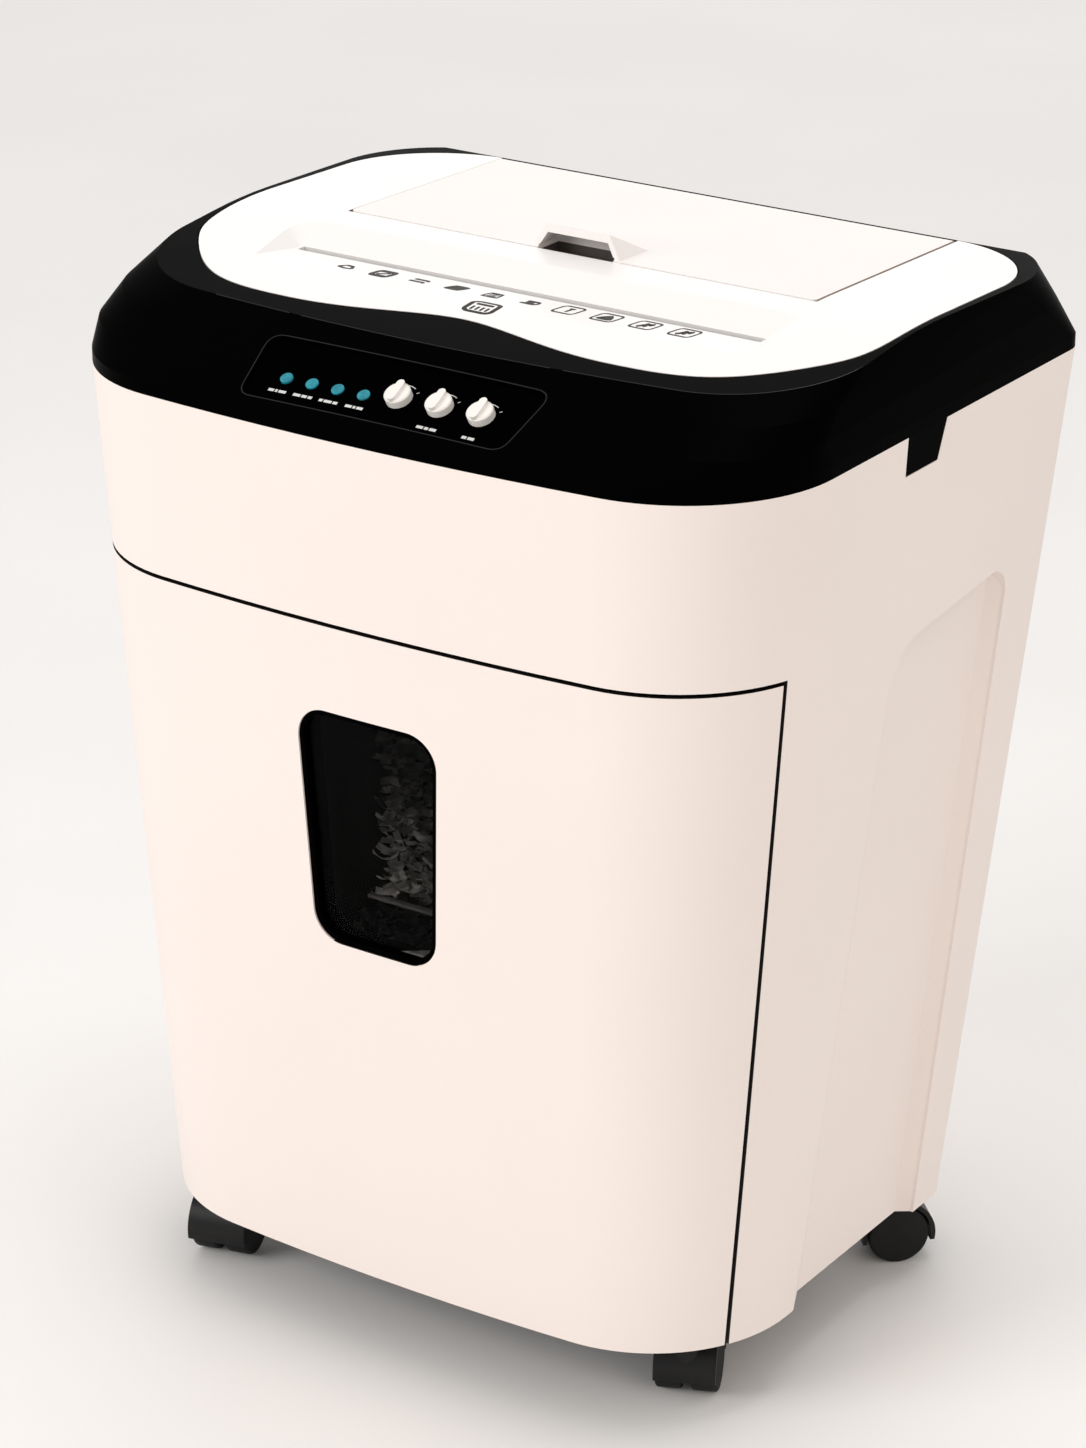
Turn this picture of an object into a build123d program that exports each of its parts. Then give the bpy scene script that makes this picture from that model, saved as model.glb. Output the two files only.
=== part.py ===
"""Auto-feed paper shredder: tapered cabinet with a pull-out bin, shredding head, hinged lid, casters.

Millimetres, +Z up, front towards -Y. The origin is on the floor under the middle of the body.
"""
import os
from math import acos, atan2, cos, pi, radians, sin, sqrt, tan

from build123d import *

os.makedirs("parts", exist_ok=True)


# ---------------------------------------------------------------- driving dimensions
# Cabinet envelope. Sizes are given at the rim joint and draw in towards the floor.
rim_level = 422.0  # joint between the white cabinet and the black head rim
foot_level = 37.0  # lower edge of the cabinet
top_half_width = 173.9
half_depth = 141.9
front_bow = 1290.0  # radius of the bowed front
front_corner = 68.8
rear_corner = 14.0
side_draft = 0.052  # inward lean per mm of drop
front_draft = 0.043
rear_draft = 0.143
wall = 2.6
ledge_width = 9.0
ledge_height = 3.0

# Pull-out bin and its front panel
door_level = 342.8  # seam above the bin front
door_side_y = -86.3  # seam down each side
door_gap = 1.8
bin_side_gap = 11.5  # from the cabinet's outside to the bin tub
bin_front_gap = 10.0
bin_rear_gap = 6.6
bin_wall = 2.5
bin_floor_level = 52.3
bin_top_level = 330.0
boss_radius = 5.0
window_low = 198.9
window_high = 300.7
window_x = -1.8
window_half_low = 28.5
window_half_high = 33.2
window_corner = 12.0
bezel_wall = 2.2
bezel_sink = 0.8  # front edge of the bezel below the panel's face
pane_thickness = 2.0
fit_gap = 0.3  # clearance round pieces that drop into openings

# Side scoops in the cabinet
scoop_depth = 7.0
scoop_ramp = 15.0  # run of the soft front slope
scoop_back_slope = 4.0
scoop_high_front = 329.0
scoop_high_rear = 339.0
scoop_front_top_y = -6.0
scoop_front_lean = 0.143
scoop_rear_top_y = 89.0
scoop_rear_lean = 0.113
scoop_rear_corner = 12.0
scoop_front_corner = 26.0

# Head: rim, cover and lid
band_height = 5.5  # upright band at the foot of the rim
crown_level = 463.0
crease_y = -95.8  # top edge of the sloping fascia
crease_level = 452.9
crown_front_y = 5.0  # highest line of the top
crown_round = 300.0
rear_edge_round = 5.0
rear_edge_y = 133.0
rear_edge_level = 459.5
head_rear_y = 134.5
# The head's walls, as (share of the fascia's rise, half width, front corner, rear corner)
head_stages = (
    (0.0, top_half_width, front_corner, rear_corner),
    (0.35, 173.0, 47.0, 33.0),
    (0.7, 171.2, 43.0, 50.0),
    (1.15, 168.1, 64.0, 58.0),
)
rim_wall = 3.0
rim_roof = 5.0  # measured straight down
rim_fascia_drop = 3.4
tab_front_y = -9.3
tab_rear_low_y = 16.0
tab_rear_high_y = 21.5
tab_drop = 16.5

cover_thickness = 2.5
cover_gap = 0.6
cover_ledge = 4.0
cover_dip_y = -68.0  # front edge at the centre
cover_bump_y = -80.0
cover_bump_x = 78.5
cover_side_x = 166.5
cover_side_front_y = 20.0
cover_rear_y = 129.5
cover_rear_corner = 52.0

trough_floor = 455.5
trough_half_length = 117.0  # at the floor
trough_front_y = -28.0
trough_back_y = -21.0
trough_brim = 464.0  # level at which the trough's slopes are given
trough_brim_half_length = 133.0
trough_brim_front_y = -136.0
trough_brim_back_y = 1.5
slot_half_length = 115.0
slot_width = 5.0
slot_y = -24.2

lid_half_width = 116.5
lid_front_y = 13.0
lid_gap = 0.9
lid_front_gap = 0.5
lid_proud = 0.3
lid_wall = 2.0
lid_corner = 3.0
lid_seat = 454.6  # tray flange under the lid
hinge_y = 126.2
hinge_level = 457.5
hinge_radius = 1.4
knuckle_radius = 2.6
hinge_low_x = 106.0
hinge_high_x = 120.0
hood_half_low = 21.5
hood_half_high = 15.5
hood_front_y = 13.6
hood_brow_y = 15.6
hood_tail_y = 36.0
hood_top = 473.0
hood_wall = 2.6
grip_back_y = 29.0
grip_floor = 457.5
grip_wall = 1.2
running_fit = 0.05

# Control panel on the fascia, measured along the slope from its lower edge
panel_low = 8.4
panel_high = 41.6
panel_half_low = 63.5
panel_half_high = 68.5
panel_corner = 6.5
panel_sink = 1.3
panel_thickness = 1.4
led_radius = 2.7
led_first_x = -47.7
led_pitch = 12.75
led_rise = 20.9
knob_first_x = 6.8
knob_pitch = 19.8
knob_rise = 23.0
knob_radius = 5.6
knob_height = 3.6
knob_ridge_height = 5.2
knob_ridge_width = 3.4
knob_shaft_radius = 2.5
board_drop = 12.0  # control board below the fascia
board_thickness = 1.6

# Shredding unit
axle_level = 400.0
cutter_spacing = 30.0  # between the two cutter axes
ridge_radius = 17.5
core_radius = 12.0
ridge_width = 4.0
ridge_pitch = 8.8
ridge_count = 25
notch_count = 5
notch_depth = 3.0
notch_half_width = 2.6
journal_radius = 8.0
bush_radius = 11.0
deck_level = 352.0
deck_thickness = 3.0
deck_hole_half_x = 114.0
deck_hole_half_y = 31.0
plate_x = 118.0  # inner face of each frame plate
plate_thickness = 3.0
plate_front_y = -42.0
plate_left_rear_y = 126.0
plate_right_rear_y = 72.0
plate_top = 446.0
foot_width = 14.0
tie_radius = 4.0
tie_places = ((-36.0, 368.0), (-36.0, 436.0), (50.0, 372.0), (62.0, 432.0))  # (y, z)
comb_thickness = 5.0
comb_half_height = 14.0
finger_width = 4.0
finger_half_height = 9.0
cutter_clearance = 0.6
guide_thickness = 1.6
guide_top = 452.4
guide_foot = 421.0

# Gear train, all axes along X
gear_module = 1.5
sync_teeth = 20
final_teeth = 44
small_teeth = 14
large_teeth = 42
pinion_teeth = 12
idler_teeth = 12
feed_teeth = 12
gear_width = 8.0
layer_gap = 2.0
gear_start = 2.0  # first gear layer outside the plate
intermediate_angle = 10.0
motor_angle = -25.0
idler_angle = 58.0
feed_angle = 38.3
gear_backlash = 0.4
pressure_angle = 20.0
shaft_radius = 4.0
motor_radius = 30.0
motor_length = 93.0
feed_roller_radius = 11.0
case_wall = 2.5
case_low_y = -30.5
case_high_y = 110.5
case_low = 360.5
case_high = 445.5

# Paper tray under the lid
tray_half_width = 108.0
tray_front_y = 19.0
tray_rear_y = 121.0
tray_floor = 441.0
tray_wall = 2.0
tray_flange_half = 121.5
tray_flange_front_y = 8.0
tray_flange_rear_y = 129.3

# Power entry on the rear wall
entry_level = 388.0
inlet_x = 92.0
switch_x = 134.0

# Casters
# Each as (name, stem x, stem y, turn of the swivel from straight back)
caster_layout = (
    ("front_left", -121.0, -80.0, 195.0),
    ("front_right", 121.0, -80.0, 24.0),
    ("rear_left", -124.0, 72.0, 0.0),
    ("rear_right", 124.0, 72.0, -45.0),
)
caster_trail = 9.0
wheel_radius = 14.0
wheel_width = 11.4
web_half = 1.6
side_play = 0.5
fender_gap = 0.9
fender_wall = 2.0
neck_radius = 7.0
stem_radius = 4.0
stem_top = 47.0
socket_radius = 7.0
flange_radius = 9.0
socket_top = 49.0
axle_radius = 2.0
base_level = foot_level + 2.0
base_thickness = 3.0
rail_x = 100.0
rail_width = 10.0


# ---------------------------------------------------------------- shared shapes
def finish(piece, name):
    """Label a finished piece and write its file."""
    piece.part.label = name
    export_step(piece.part, f"parts/{name}.step")


crown_tilt = atan2(crown_level - crease_level, crown_front_y - crease_y)
fascia_slope = atan2(crease_level - rim_level - band_height, crease_y + half_depth)


def draw_plan(half_width, front, rear, bow, corner, back_corner):
    """Closed plan outline: bowed front, large front corners, straight sides, small rear corners."""
    bow_y = front + bow
    cx = half_width - corner
    cy = bow_y - sqrt((bow - corner) ** 2 - cx**2)
    reach = bow / (bow - corner)
    px, py = cx * reach, bow_y + (cy - bow_y) * reach
    turn = atan2(cy - py, px - cx)  # from the side's direction to the tangent point
    mx, my = cx + corner * cos(turn / 2), cy - corner * sin(turn / 2)
    side_y = rear - back_corner
    rear_x = half_width - back_corner
    slant = back_corner * cos(pi / 4)
    ThreePointArc((-px, py), (0, front), (px, py))
    ThreePointArc((px, py), (mx, my), (half_width, cy))
    Line((half_width, cy), (half_width, side_y))
    ThreePointArc((half_width, side_y), (rear_x + slant, side_y + slant), (rear_x, rear))
    Line((rear_x, rear), (-rear_x, rear))
    ThreePointArc((-rear_x, rear), (-rear_x - slant, side_y + slant), (-half_width, side_y))
    Line((-half_width, side_y), (-half_width, cy))
    ThreePointArc((-half_width, cy), (-mx, my), (-px, py))


def cabinet_front(z):
    """Y of the cabinet's front at the centre, at height z."""
    return -half_depth + front_draft * (rim_level - z)


def cabinet_rear(z):
    """Y of the cabinet's rear wall at height z."""
    return half_depth - rear_draft * (rim_level - z)


def cabinet_side(z):
    """Half width of the cabinet at height z."""
    return top_half_width - side_draft * (rim_level - z)


def tapered_body(low, high, side_inset, front_inset=None, rear_inset=None):
    """Solid with the cabinet's tapered shape between two heights, drawn in by the insets."""
    front_in = side_inset if front_inset is None else front_inset
    rear_in = side_inset if rear_inset is None else rear_inset
    with BuildPart() as body:
        for z in (low, high):
            with BuildSketch(Plane.XY.offset(z)):
                with BuildLine():
                    draw_plan(
                        cabinet_side(z) - side_inset,
                        cabinet_front(z) + front_in,
                        cabinet_rear(z) - rear_in,
                        front_bow - front_in,
                        front_corner - side_inset,
                        max(rear_corner - rear_in, 2.0),
                    )
                make_face()
        loft(ruled=True)
    return body.part


def box_between(low, high):
    """Axis-aligned box from its lowest to its highest corner."""
    size = [b - a for a, b in zip(low, high)]
    middle = [(a + b) / 2 for a, b in zip(low, high)]
    return Pos(*middle) * Box(*size, mode=Mode.PRIVATE)


def side_prism(points, half_length):
    """Prism along X, centred, from an outline of (y, z) points."""
    with BuildPart() as prism:
        with BuildSketch(Plane.YZ):
            with BuildLine():
                Polyline(*points, close=True)
            make_face()
        extrude(amount=half_length, both=True)
    return prism.part


def x_cylinder(y, z, radius, x_low, x_high):
    """Cylinder along X."""
    rod = Cylinder(radius, x_high - x_low, mode=Mode.PRIVATE)
    return Pos((x_low + x_high) / 2, y, z) * Rot(0, 90, 0) * rod


def top_region(drop, rear_round=0):
    """Everything below the head's top surface, lowered by drop; its rear edge may be rounded."""
    low, reach = rim_level - 60, half_depth + 30
    rear_slope = (half_depth - rear_edge_y) / (rear_edge_level - rim_level)
    edge_y = rear_edge_y - drop * 0.6
    foot_y = edge_y + rear_slope * (rear_edge_level - drop - low)
    front_level = crease_level - (reach + crease_y) * tan(crown_tilt)
    with BuildPart() as region:
        with BuildSketch(Plane.YZ) as outline:
            with BuildLine():
                Polyline(
                    (-reach, low),
                    (-reach, front_level - drop),
                    (crown_front_y, crown_level - drop),
                    (edge_y, rear_edge_level - drop),
                    (foot_y, low),
                    close=True,
                )
            make_face()
            if rear_round:
                fillet(outline.vertices().sort_by(Axis.Y)[-2], rear_round)
            fillet(outline.vertices().sort_by(Axis.Y)[-1], crown_round)
        extrude(amount=top_half_width + 20, both=True)
    return region.part


def head_walls(inset, drop):
    """Solid inside the head's walls: upright band, then a slope that wraps round the front."""
    with BuildPart() as walls:
        with BuildSketch(Plane.XY.offset(rim_level - drop)):
            with BuildLine():
                draw_plan(
                    top_half_width - inset, -half_depth + inset, half_depth - inset,
                    front_bow - inset, front_corner - inset, rear_corner - inset,
                )
            make_face()
        for share, half_width, corner, back_corner in head_stages:
            tilt = share * crown_tilt
            start_y = -half_depth + share * (crease_y + half_depth)
            start_z = rim_level + band_height + share * (crease_level - rim_level - band_height)
            end_y = half_depth + share * (head_rear_y - half_depth)
            stage = Plane(
                origin=(0, start_y, start_z - drop), x_dir=(1, 0, 0), z_dir=(0, -sin(tilt), cos(tilt))
            )
            with BuildSketch(stage):
                with BuildLine():
                    draw_plan(
                        half_width - inset, inset, (end_y - start_y) / cos(tilt) - inset,
                        front_bow - inset, corner - inset, back_corner - inset,
                    )
                make_face()
        loft(ruled=True)
    return walls.part


def cover_prism(low, high, grow):
    """Upright prism with the white cover's wavy outline, grown outwards by grow."""
    corner_y = cover_rear_y - cover_rear_corner
    corner_x = cover_side_x - cover_rear_corner
    slant = (cover_rear_corner + grow) * cos(pi / 4)
    side_x, rear_y = cover_side_x + grow, cover_rear_y + grow
    shoulder = [
        (x + grow * cos(radians(facing)), y + grow * sin(radians(facing)))
        for x, y, facing in (
            (cover_bump_x, cover_bump_y, -90.0),
            (129.5, -69.0, -68.0),
            (152.5, -46.5, -36.0),
            (cover_side_x, cover_side_front_y, 0.0),
        )
    ]
    with BuildPart() as prism:
        with BuildSketch(Plane.XY.offset(low)):
            with BuildLine():
                Spline(
                    (-cover_bump_x, cover_bump_y - grow),
                    (0, cover_dip_y - grow),
                    (cover_bump_x, cover_bump_y - grow),
                    tangents=[(1, 0), (1, 0)],
                )
                for side in (1, -1):
                    points = [(side * x, y) for x, y in shoulder]
                    Spline(*points, tangents=[(side, 0), (0, 1)])
                    Line(points[-1], (side * side_x, corner_y))
                    ThreePointArc(
                        (side * side_x, corner_y),
                        (side * (corner_x + slant), corner_y + slant),
                        (side * corner_x, rear_y),
                    )
                Line((-corner_x, rear_y), (corner_x, rear_y))
            make_face()
        extrude(amount=high - low)
    return prism.part


def z_cylinder(x, y, radius, low, high):
    """Upright cylinder."""
    rod = Cylinder(radius, high - low, mode=Mode.PRIVATE)
    return Pos(x, y, (low + high) / 2) * rod


def y_cylinder(x, z, radius, y_low, y_high):
    """Cylinder along Y."""
    rod = Cylinder(radius, y_high - y_low, mode=Mode.PRIVATE)
    return Pos(x, (y_low + y_high) / 2, z) * Rot(90, 0, 0) * rod


def fascia_plane(x, rise, lift=0.0):
    """Plane on the sloping fascia: Z square to the slope, Y up the slope."""
    up, back = sin(fascia_slope), cos(fascia_slope)
    y = -half_depth + rise * back - lift * up
    z = rim_level + band_height + rise * up + lift * back
    return Plane(origin=(x, y, z), x_dir=(1, 0, 0), z_dir=(0, -up, back))


def panel_prism(shrink):
    """Prism square to the fascia with the control panel's rounded outline."""
    middle = (panel_low + panel_high) / 2
    half_rise = (panel_high - panel_low) / 2 - shrink
    with BuildPart() as prism:
        with BuildSketch(fascia_plane(0, middle, -15)) as outline:
            with BuildLine():
                Polyline(
                    (-panel_half_low + shrink, -half_rise),
                    (panel_half_low - shrink, -half_rise),
                    (panel_half_high - shrink, half_rise),
                    (-panel_half_high + shrink, half_rise),
                    close=True,
                )
            make_face()
            fillet(outline.vertices(), panel_corner - shrink)
        extrude(amount=30)
    return prism.part


def window_prism(grow):
    """Prism through the bin's front with the window's outline, grown outwards by grow."""
    with BuildPart() as prism:
        with BuildSketch(Plane.XZ.offset(-cabinet_front(rim_level) - 60)) as outline:
            with BuildLine():
                Polyline(
                    (window_x - window_half_low - grow, window_low - grow),
                    (window_x + window_half_low + grow, window_low - grow),
                    (window_x + window_half_high + grow, window_high + grow),
                    (window_x - window_half_high - grow, window_high + grow),
                    close=True,
                )
            make_face()
            fillet(outline.vertices(), window_corner + grow)
        extrude(amount=100)
    return prism.part


def scoop(side, grow):
    """Hollow in the cabinet's side, its skin moved inwards by grow."""
    low, high = foot_level - 10, door_level
    reach = 4.0
    with BuildPart() as wedge:
        for z in (low, high):
            face = cabinet_side(z) - grow
            front = scoop_front_top_y - scoop_front_lean * (scoop_high_front - z)
            rear = scoop_rear_top_y - scoop_rear_lean * (scoop_high_rear - z) + grow
            ramp = scoop_ramp / scoop_depth * reach
            with BuildSketch(Plane.XY.offset(z)):
                with BuildLine():
                    Polyline(
                        (side * (face + reach), front - ramp),
                        (side * (face - scoop_depth), front + scoop_ramp),
                        (side * (face - scoop_depth), rear - scoop_back_slope),
                        (side * (face + reach), rear + scoop_back_slope),
                        close=True,
                    )
                make_face()
        loft(ruled=True)
    front_low = scoop_front_top_y - scoop_front_lean * (scoop_high_front - low)
    rear_low = scoop_rear_top_y - scoop_rear_lean * (scoop_high_rear - low)
    with BuildPart() as window:
        with BuildSketch(Plane.YZ) as outline:
            with BuildLine():
                Polyline(
                    (front_low - grow, low),
                    (scoop_front_top_y - grow, scoop_high_front + grow),
                    (scoop_rear_top_y + grow, scoop_high_rear + grow),
                    (rear_low + grow, low),
                    close=True,
                )
            make_face()
            fillet(outline.vertices().sort_by(Axis.Y)[-2], scoop_front_corner)
            fillet(outline.vertices().sort_by(Axis.Y)[-1], scoop_rear_corner)
        extrude(amount=side * 200)
    return wedge.part & window.part


def tab_prism(side, grow):
    """Prism across one side wall with the outline of the rim's side tab."""
    with BuildPart() as prism:
        with BuildSketch(Plane.YZ.offset(side * 100)):
            with BuildLine():
                Polyline(
                    (tab_front_y - grow, rim_level - tab_drop - grow),
                    (tab_rear_low_y + grow, rim_level - tab_drop - grow),
                    (tab_rear_high_y + grow, rim_level),
                    (tab_rear_high_y + grow, rim_level + 1),
                    (tab_front_y - grow, rim_level + 1),
                    close=True,
                )
            make_face()
        extrude(amount=side * 100)
    return prism.part


def trough_void(drop):
    """Space above the sloping bowl that leads to the paper slot, its skin lowered by drop."""
    stages = (
        (trough_floor - drop, trough_half_length, trough_front_y, trough_back_y, 3.0),
        (
            trough_brim - drop,
            trough_brim_half_length,
            trough_brim_front_y,
            trough_brim_back_y,
            20.0,
        ),
    )
    with BuildPart() as bowl:
        for z, half_length, front, back, corner in stages:
            with BuildSketch(Plane.XY.offset(z)):
                with Locations((0, (front + back) / 2)):
                    RectangleRounded(
                        2 * half_length + drop, back - front + drop, corner + drop / 2
                    )
        loft(ruled=True)
    return bowl.part


def wall_plane(x, z):
    """Plane on the leaning rear wall: Z outwards, Y up the wall."""
    lean = atan2(rear_draft, 1)
    return Plane(
        origin=(x, cabinet_rear(z), z), x_dir=(-1, 0, 0), z_dir=(0, cos(lean), -sin(lean))
    )


def gear_wheel(teeth, first_tooth, axis, x_low, x_high, bore):
    """Involute gear along X; first_tooth is the angle of one tooth from +Y towards +Z."""
    y, z = axis
    pitch_radius = gear_module * teeth / 2
    base_radius = pitch_radius * cos(radians(pressure_angle))
    tip = pitch_radius + 0.95 * gear_module
    root = pitch_radius - 1.25 * gear_module
    foot = max(base_radius * 1.002, root + 0.3)
    middle = (foot + tip) / 2
    half_tooth = pi / (2 * teeth) - gear_backlash / (4 * pitch_radius)

    def involute(radius):
        turn = acos(base_radius / radius)
        return tan(turn) - turn

    def half_angle(radius):
        return half_tooth + involute(pitch_radius) - involute(radius)

    def at(radius, angle):
        return (y + radius * cos(angle), z + radius * sin(angle))

    low, mid, high = half_angle(foot), half_angle(middle), half_angle(tip)
    with BuildPart() as wheel:
        with BuildSketch(Plane.YZ.offset(x_low)):
            with BuildLine():
                for i in range(teeth):
                    here = first_tooth + 2 * pi * i / teeth
                    after = here + 2 * pi / teeth
                    Line(at(root, here - low), at(foot, here - low))
                    ThreePointArc(
                        at(foot, here - low), at(middle, here - mid), at(tip, here - high)
                    )
                    Line(at(tip, here - high), at(tip, here + high))
                    ThreePointArc(
                        at(tip, here + high), at(middle, here + mid), at(foot, here + low)
                    )
                    Line(at(foot, here + low), at(root, here + low))
                    Line(at(root, here + low), at(root, after - low))
            make_face()
            with Locations((y, z)):
                Circle(bore, mode=Mode.SUBTRACT)
        extrude(amount=x_high - x_low)
    return wheel.part


def mesh_place(axis, teeth, first_tooth, other_teeth, angle):
    """Axis and first tooth of a gear that meshes with a given gear in a given direction."""
    toward = radians(angle)
    distance = gear_module * (teeth + other_teeth) / 2
    place = (axis[0] + distance * cos(toward), axis[1] + distance * sin(toward))
    other_tooth = toward + pi - (pi - teeth * (toward - first_tooth)) / other_teeth
    return place, other_tooth


def screw_at(x, y, z, direction, radius=1.6, length=9.0, head=3.2, head_height=2.0):
    """Screw whose head rests at a point and whose shank runs along a direction."""
    spot = Plane(origin=(x, y, z), z_dir=direction)
    with BuildPart() as screw:
        with BuildSketch(spot):
            Circle(radius)
        extrude(amount=length)
        with BuildSketch(spot):
            Circle(head)
        extrude(amount=-head_height)
        with BuildSketch(spot.offset(-head_height)):
            Circle(1.4)
        extrude(amount=1.2, mode=Mode.SUBTRACT)
    return screw.part


# ---------------------------------------------------------------- shredding unit layout
front_axis = (-cutter_spacing / 2, axle_level)
rear_axis = (cutter_spacing / 2, axle_level)
sync_tooth = 0.0
front_sync_tooth = mesh_place(rear_axis, sync_teeth, sync_tooth, sync_teeth, 180)[1]
middle_axis, small_tooth = mesh_place(
    rear_axis, final_teeth, sync_tooth, small_teeth, intermediate_angle
)
motor_axis, pinion_tooth = mesh_place(
    middle_axis, large_teeth, small_tooth, pinion_teeth, motor_angle
)
idler_axis, idler_tooth = mesh_place(
    rear_axis, sync_teeth, sync_tooth, idler_teeth, idler_angle
)
feed_axis, feed_tooth = mesh_place(
    idler_axis, idler_teeth, idler_tooth, feed_teeth, feed_angle
)
plate_outer = plate_x + plate_thickness
layer_a = plate_outer + gear_start
layer_b = layer_a + gear_width + layer_gap
case_outer = layer_b + gear_width + gear_start + case_wall
deck_top = deck_level + deck_thickness


# ---------------------------------------------------------------- cabinet
outer_skin = tapered_body(foot_level, rim_level, 0)
inner_space = tapered_body(foot_level, rim_level, wall)
cavity = inner_space - scoop(1, wall) - scoop(-1, wall)
deck_shelf = tapered_body(deck_level - ledge_height, deck_level, wall) - tapered_body(
    deck_level - ledge_height, deck_level, wall + ledge_width
)
base_shelf_inset = wall + scoop_depth + ledge_width
base_shelf = (
    tapered_body(foot_level, base_level, wall)
    - tapered_body(foot_level, base_level, base_shelf_inset)
    - scoop(1, 0)
    - scoop(-1, 0)
)
front_cut = box_between((-200, -200, 0), (200, door_side_y, door_level))

inlet_plane = wall_plane(inlet_x, entry_level)
switch_plane = wall_plane(switch_x, entry_level)
inlet_size = (28.0, 20.0)
switch_size = (22.0, 13.0)
vent_count = 9
vent_pitch = 9.0
vent_x = -72.0
vent_level = 392.0
caster_places = [(x, y) for name, x, y, turn in caster_layout]
deck_screws_at = [(side * 163.0, y) for side in (-1, 1) for y in (-20.0, 70.0)]

with BuildPart() as cabinet_shell:
    add(outer_skin)
    add(cavity, mode=Mode.SUBTRACT)
    for side in (-1, 1):
        add(scoop(side, 0), mode=Mode.SUBTRACT)
    add(deck_shelf)
    add(base_shelf)
    add(front_cut, mode=Mode.SUBTRACT)
    for x, y in caster_places:
        add(z_cylinder(x, y, flange_radius + fit_gap, 30, base_level), mode=Mode.SUBTRACT)
    for side in (-1, 1):
        add(tab_prism(side, fit_gap), mode=Mode.SUBTRACT)
    for plane, size in ((inlet_plane, inlet_size), (switch_plane, switch_size)):
        with BuildSketch(plane.offset(-8)):
            Rectangle(size[0] + fit_gap, size[1] + fit_gap)
        extrude(amount=12, mode=Mode.SUBTRACT)
    with BuildSketch(wall_plane(vent_x, vent_level).offset(-8)):
        with GridLocations(vent_pitch, 0, vent_count, 1):
            Rectangle(3.2, 34)
    extrude(amount=12, mode=Mode.SUBTRACT)
    for x, y in deck_screws_at:
        add(z_cylinder(x, y, 1.6, deck_level - ledge_height, deck_level), mode=Mode.SUBTRACT)

base_outline = (
    tapered_body(base_level, base_level + base_thickness, wall + 0.5, wall + 4.0)
    - scoop(1, wall + 0.5)
    - scoop(-1, wall + 0.5)
)
rail_top = bin_floor_level - fit_gap
with BuildPart() as cabinet_base:
    add(base_outline)
    for x, y in caster_places:
        add(z_cylinder(x, y, socket_radius, 30, 60), mode=Mode.SUBTRACT)
    for side in (-1, 1):
        low_x, high_x = side * rail_x - rail_width / 2, side * rail_x + rail_width / 2
        add(box_between((low_x, -112, base_level), (high_x, 72, rail_top)))

with BuildPart() as caster_sockets:
    for x, y in caster_places:
        add(z_cylinder(x, y, socket_radius, base_level, socket_top))
        add(z_cylinder(x, y, flange_radius, foot_level, base_level))
        add(z_cylinder(x, y, stem_radius + running_fit, 30, 60), mode=Mode.SUBTRACT)


# ---------------------------------------------------------------- bin
bin_slab = tapered_body(foot_level, door_level - door_gap, 0) - tapered_body(
    foot_level, door_level - door_gap, wall
)
door_zone = box_between((-200, -200, 0), (200, door_side_y - door_gap, 400))
tub_low, tub_high = bin_floor_level, bin_top_level
tub_outside = tapered_body(tub_low, tub_high, bin_side_gap, bin_front_gap, bin_rear_gap)
tub_inside = tapered_body(
    tub_low + bin_wall,
    tub_high + 1,
    bin_side_gap + bin_wall,
    bin_front_gap + bin_wall,
    bin_rear_gap + bin_wall,
)
front_space = tapered_body(foot_level, tub_high, wall) - tapered_body(
    foot_level, tub_high, bin_side_gap, bin_front_gap, bin_rear_gap
)
boss_places = [(sx * x, z) for x, z in ((92.0, 80.0), (98.0, 314.0)) for sx in (-1, 1)]
bosses = [y_cylinder(x, z, boss_radius, -150, -100) & front_space for x, z in boss_places]
bezel_outer = window_prism(bezel_wall)
bezel_inner = window_prism(0)

with BuildPart() as bin_front:
    add(bin_slab & door_zone)
    add(window_prism(bezel_wall + 0.1), mode=Mode.SUBTRACT)

with BuildPart() as bin_tub:
    add(tub_outside)
    for boss in bosses:
        add(boss)
    for side in (-1, 1):
        for edge in (-1, 1):
            runner = side * rail_x + edge * (rail_width / 2 + 1.5)
            add(box_between((runner - 1, -108, base_level + 5), (runner + 1, 74, tub_low)))
    add(tub_inside, mode=Mode.SUBTRACT)
    add(window_prism(bezel_wall + 0.1), mode=Mode.SUBTRACT)
    for x, z in boss_places:
        add(y_cylinder(x, z, 1.6, cabinet_front(z) + wall + 1.0, -100), mode=Mode.SUBTRACT)

face_band = [tapered_body(180, 320, 20, inset, 60) for inset in
             (bezel_sink, bin_front_gap + bin_wall, 3.4, 3.4 + pane_thickness)]
with BuildPart() as window_bezel:
    add((face_band[0] - face_band[1]) & bezel_outer)
    add(bezel_inner, mode=Mode.SUBTRACT)

with BuildPart() as window_pane:
    add((face_band[2] - face_band[3]) & bezel_inner)

with BuildPart() as bin_screws:
    for x, z in boss_places:
        head_y = cabinet_front(z) + front_bow - sqrt((front_bow) ** 2 - x**2)
        head_y += bin_front_gap + bin_wall
        add(screw_at(x, head_y + 0.6, z, (0, -1, 0), length=bin_front_gap + bin_wall - wall - 1.2))

magnet_x = 60.0
with BuildPart() as bin_magnet:
    add(box_between((magnet_x - 6, -118, bin_top_level - 22), (magnet_x + 6, -113, bin_top_level)))


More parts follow.
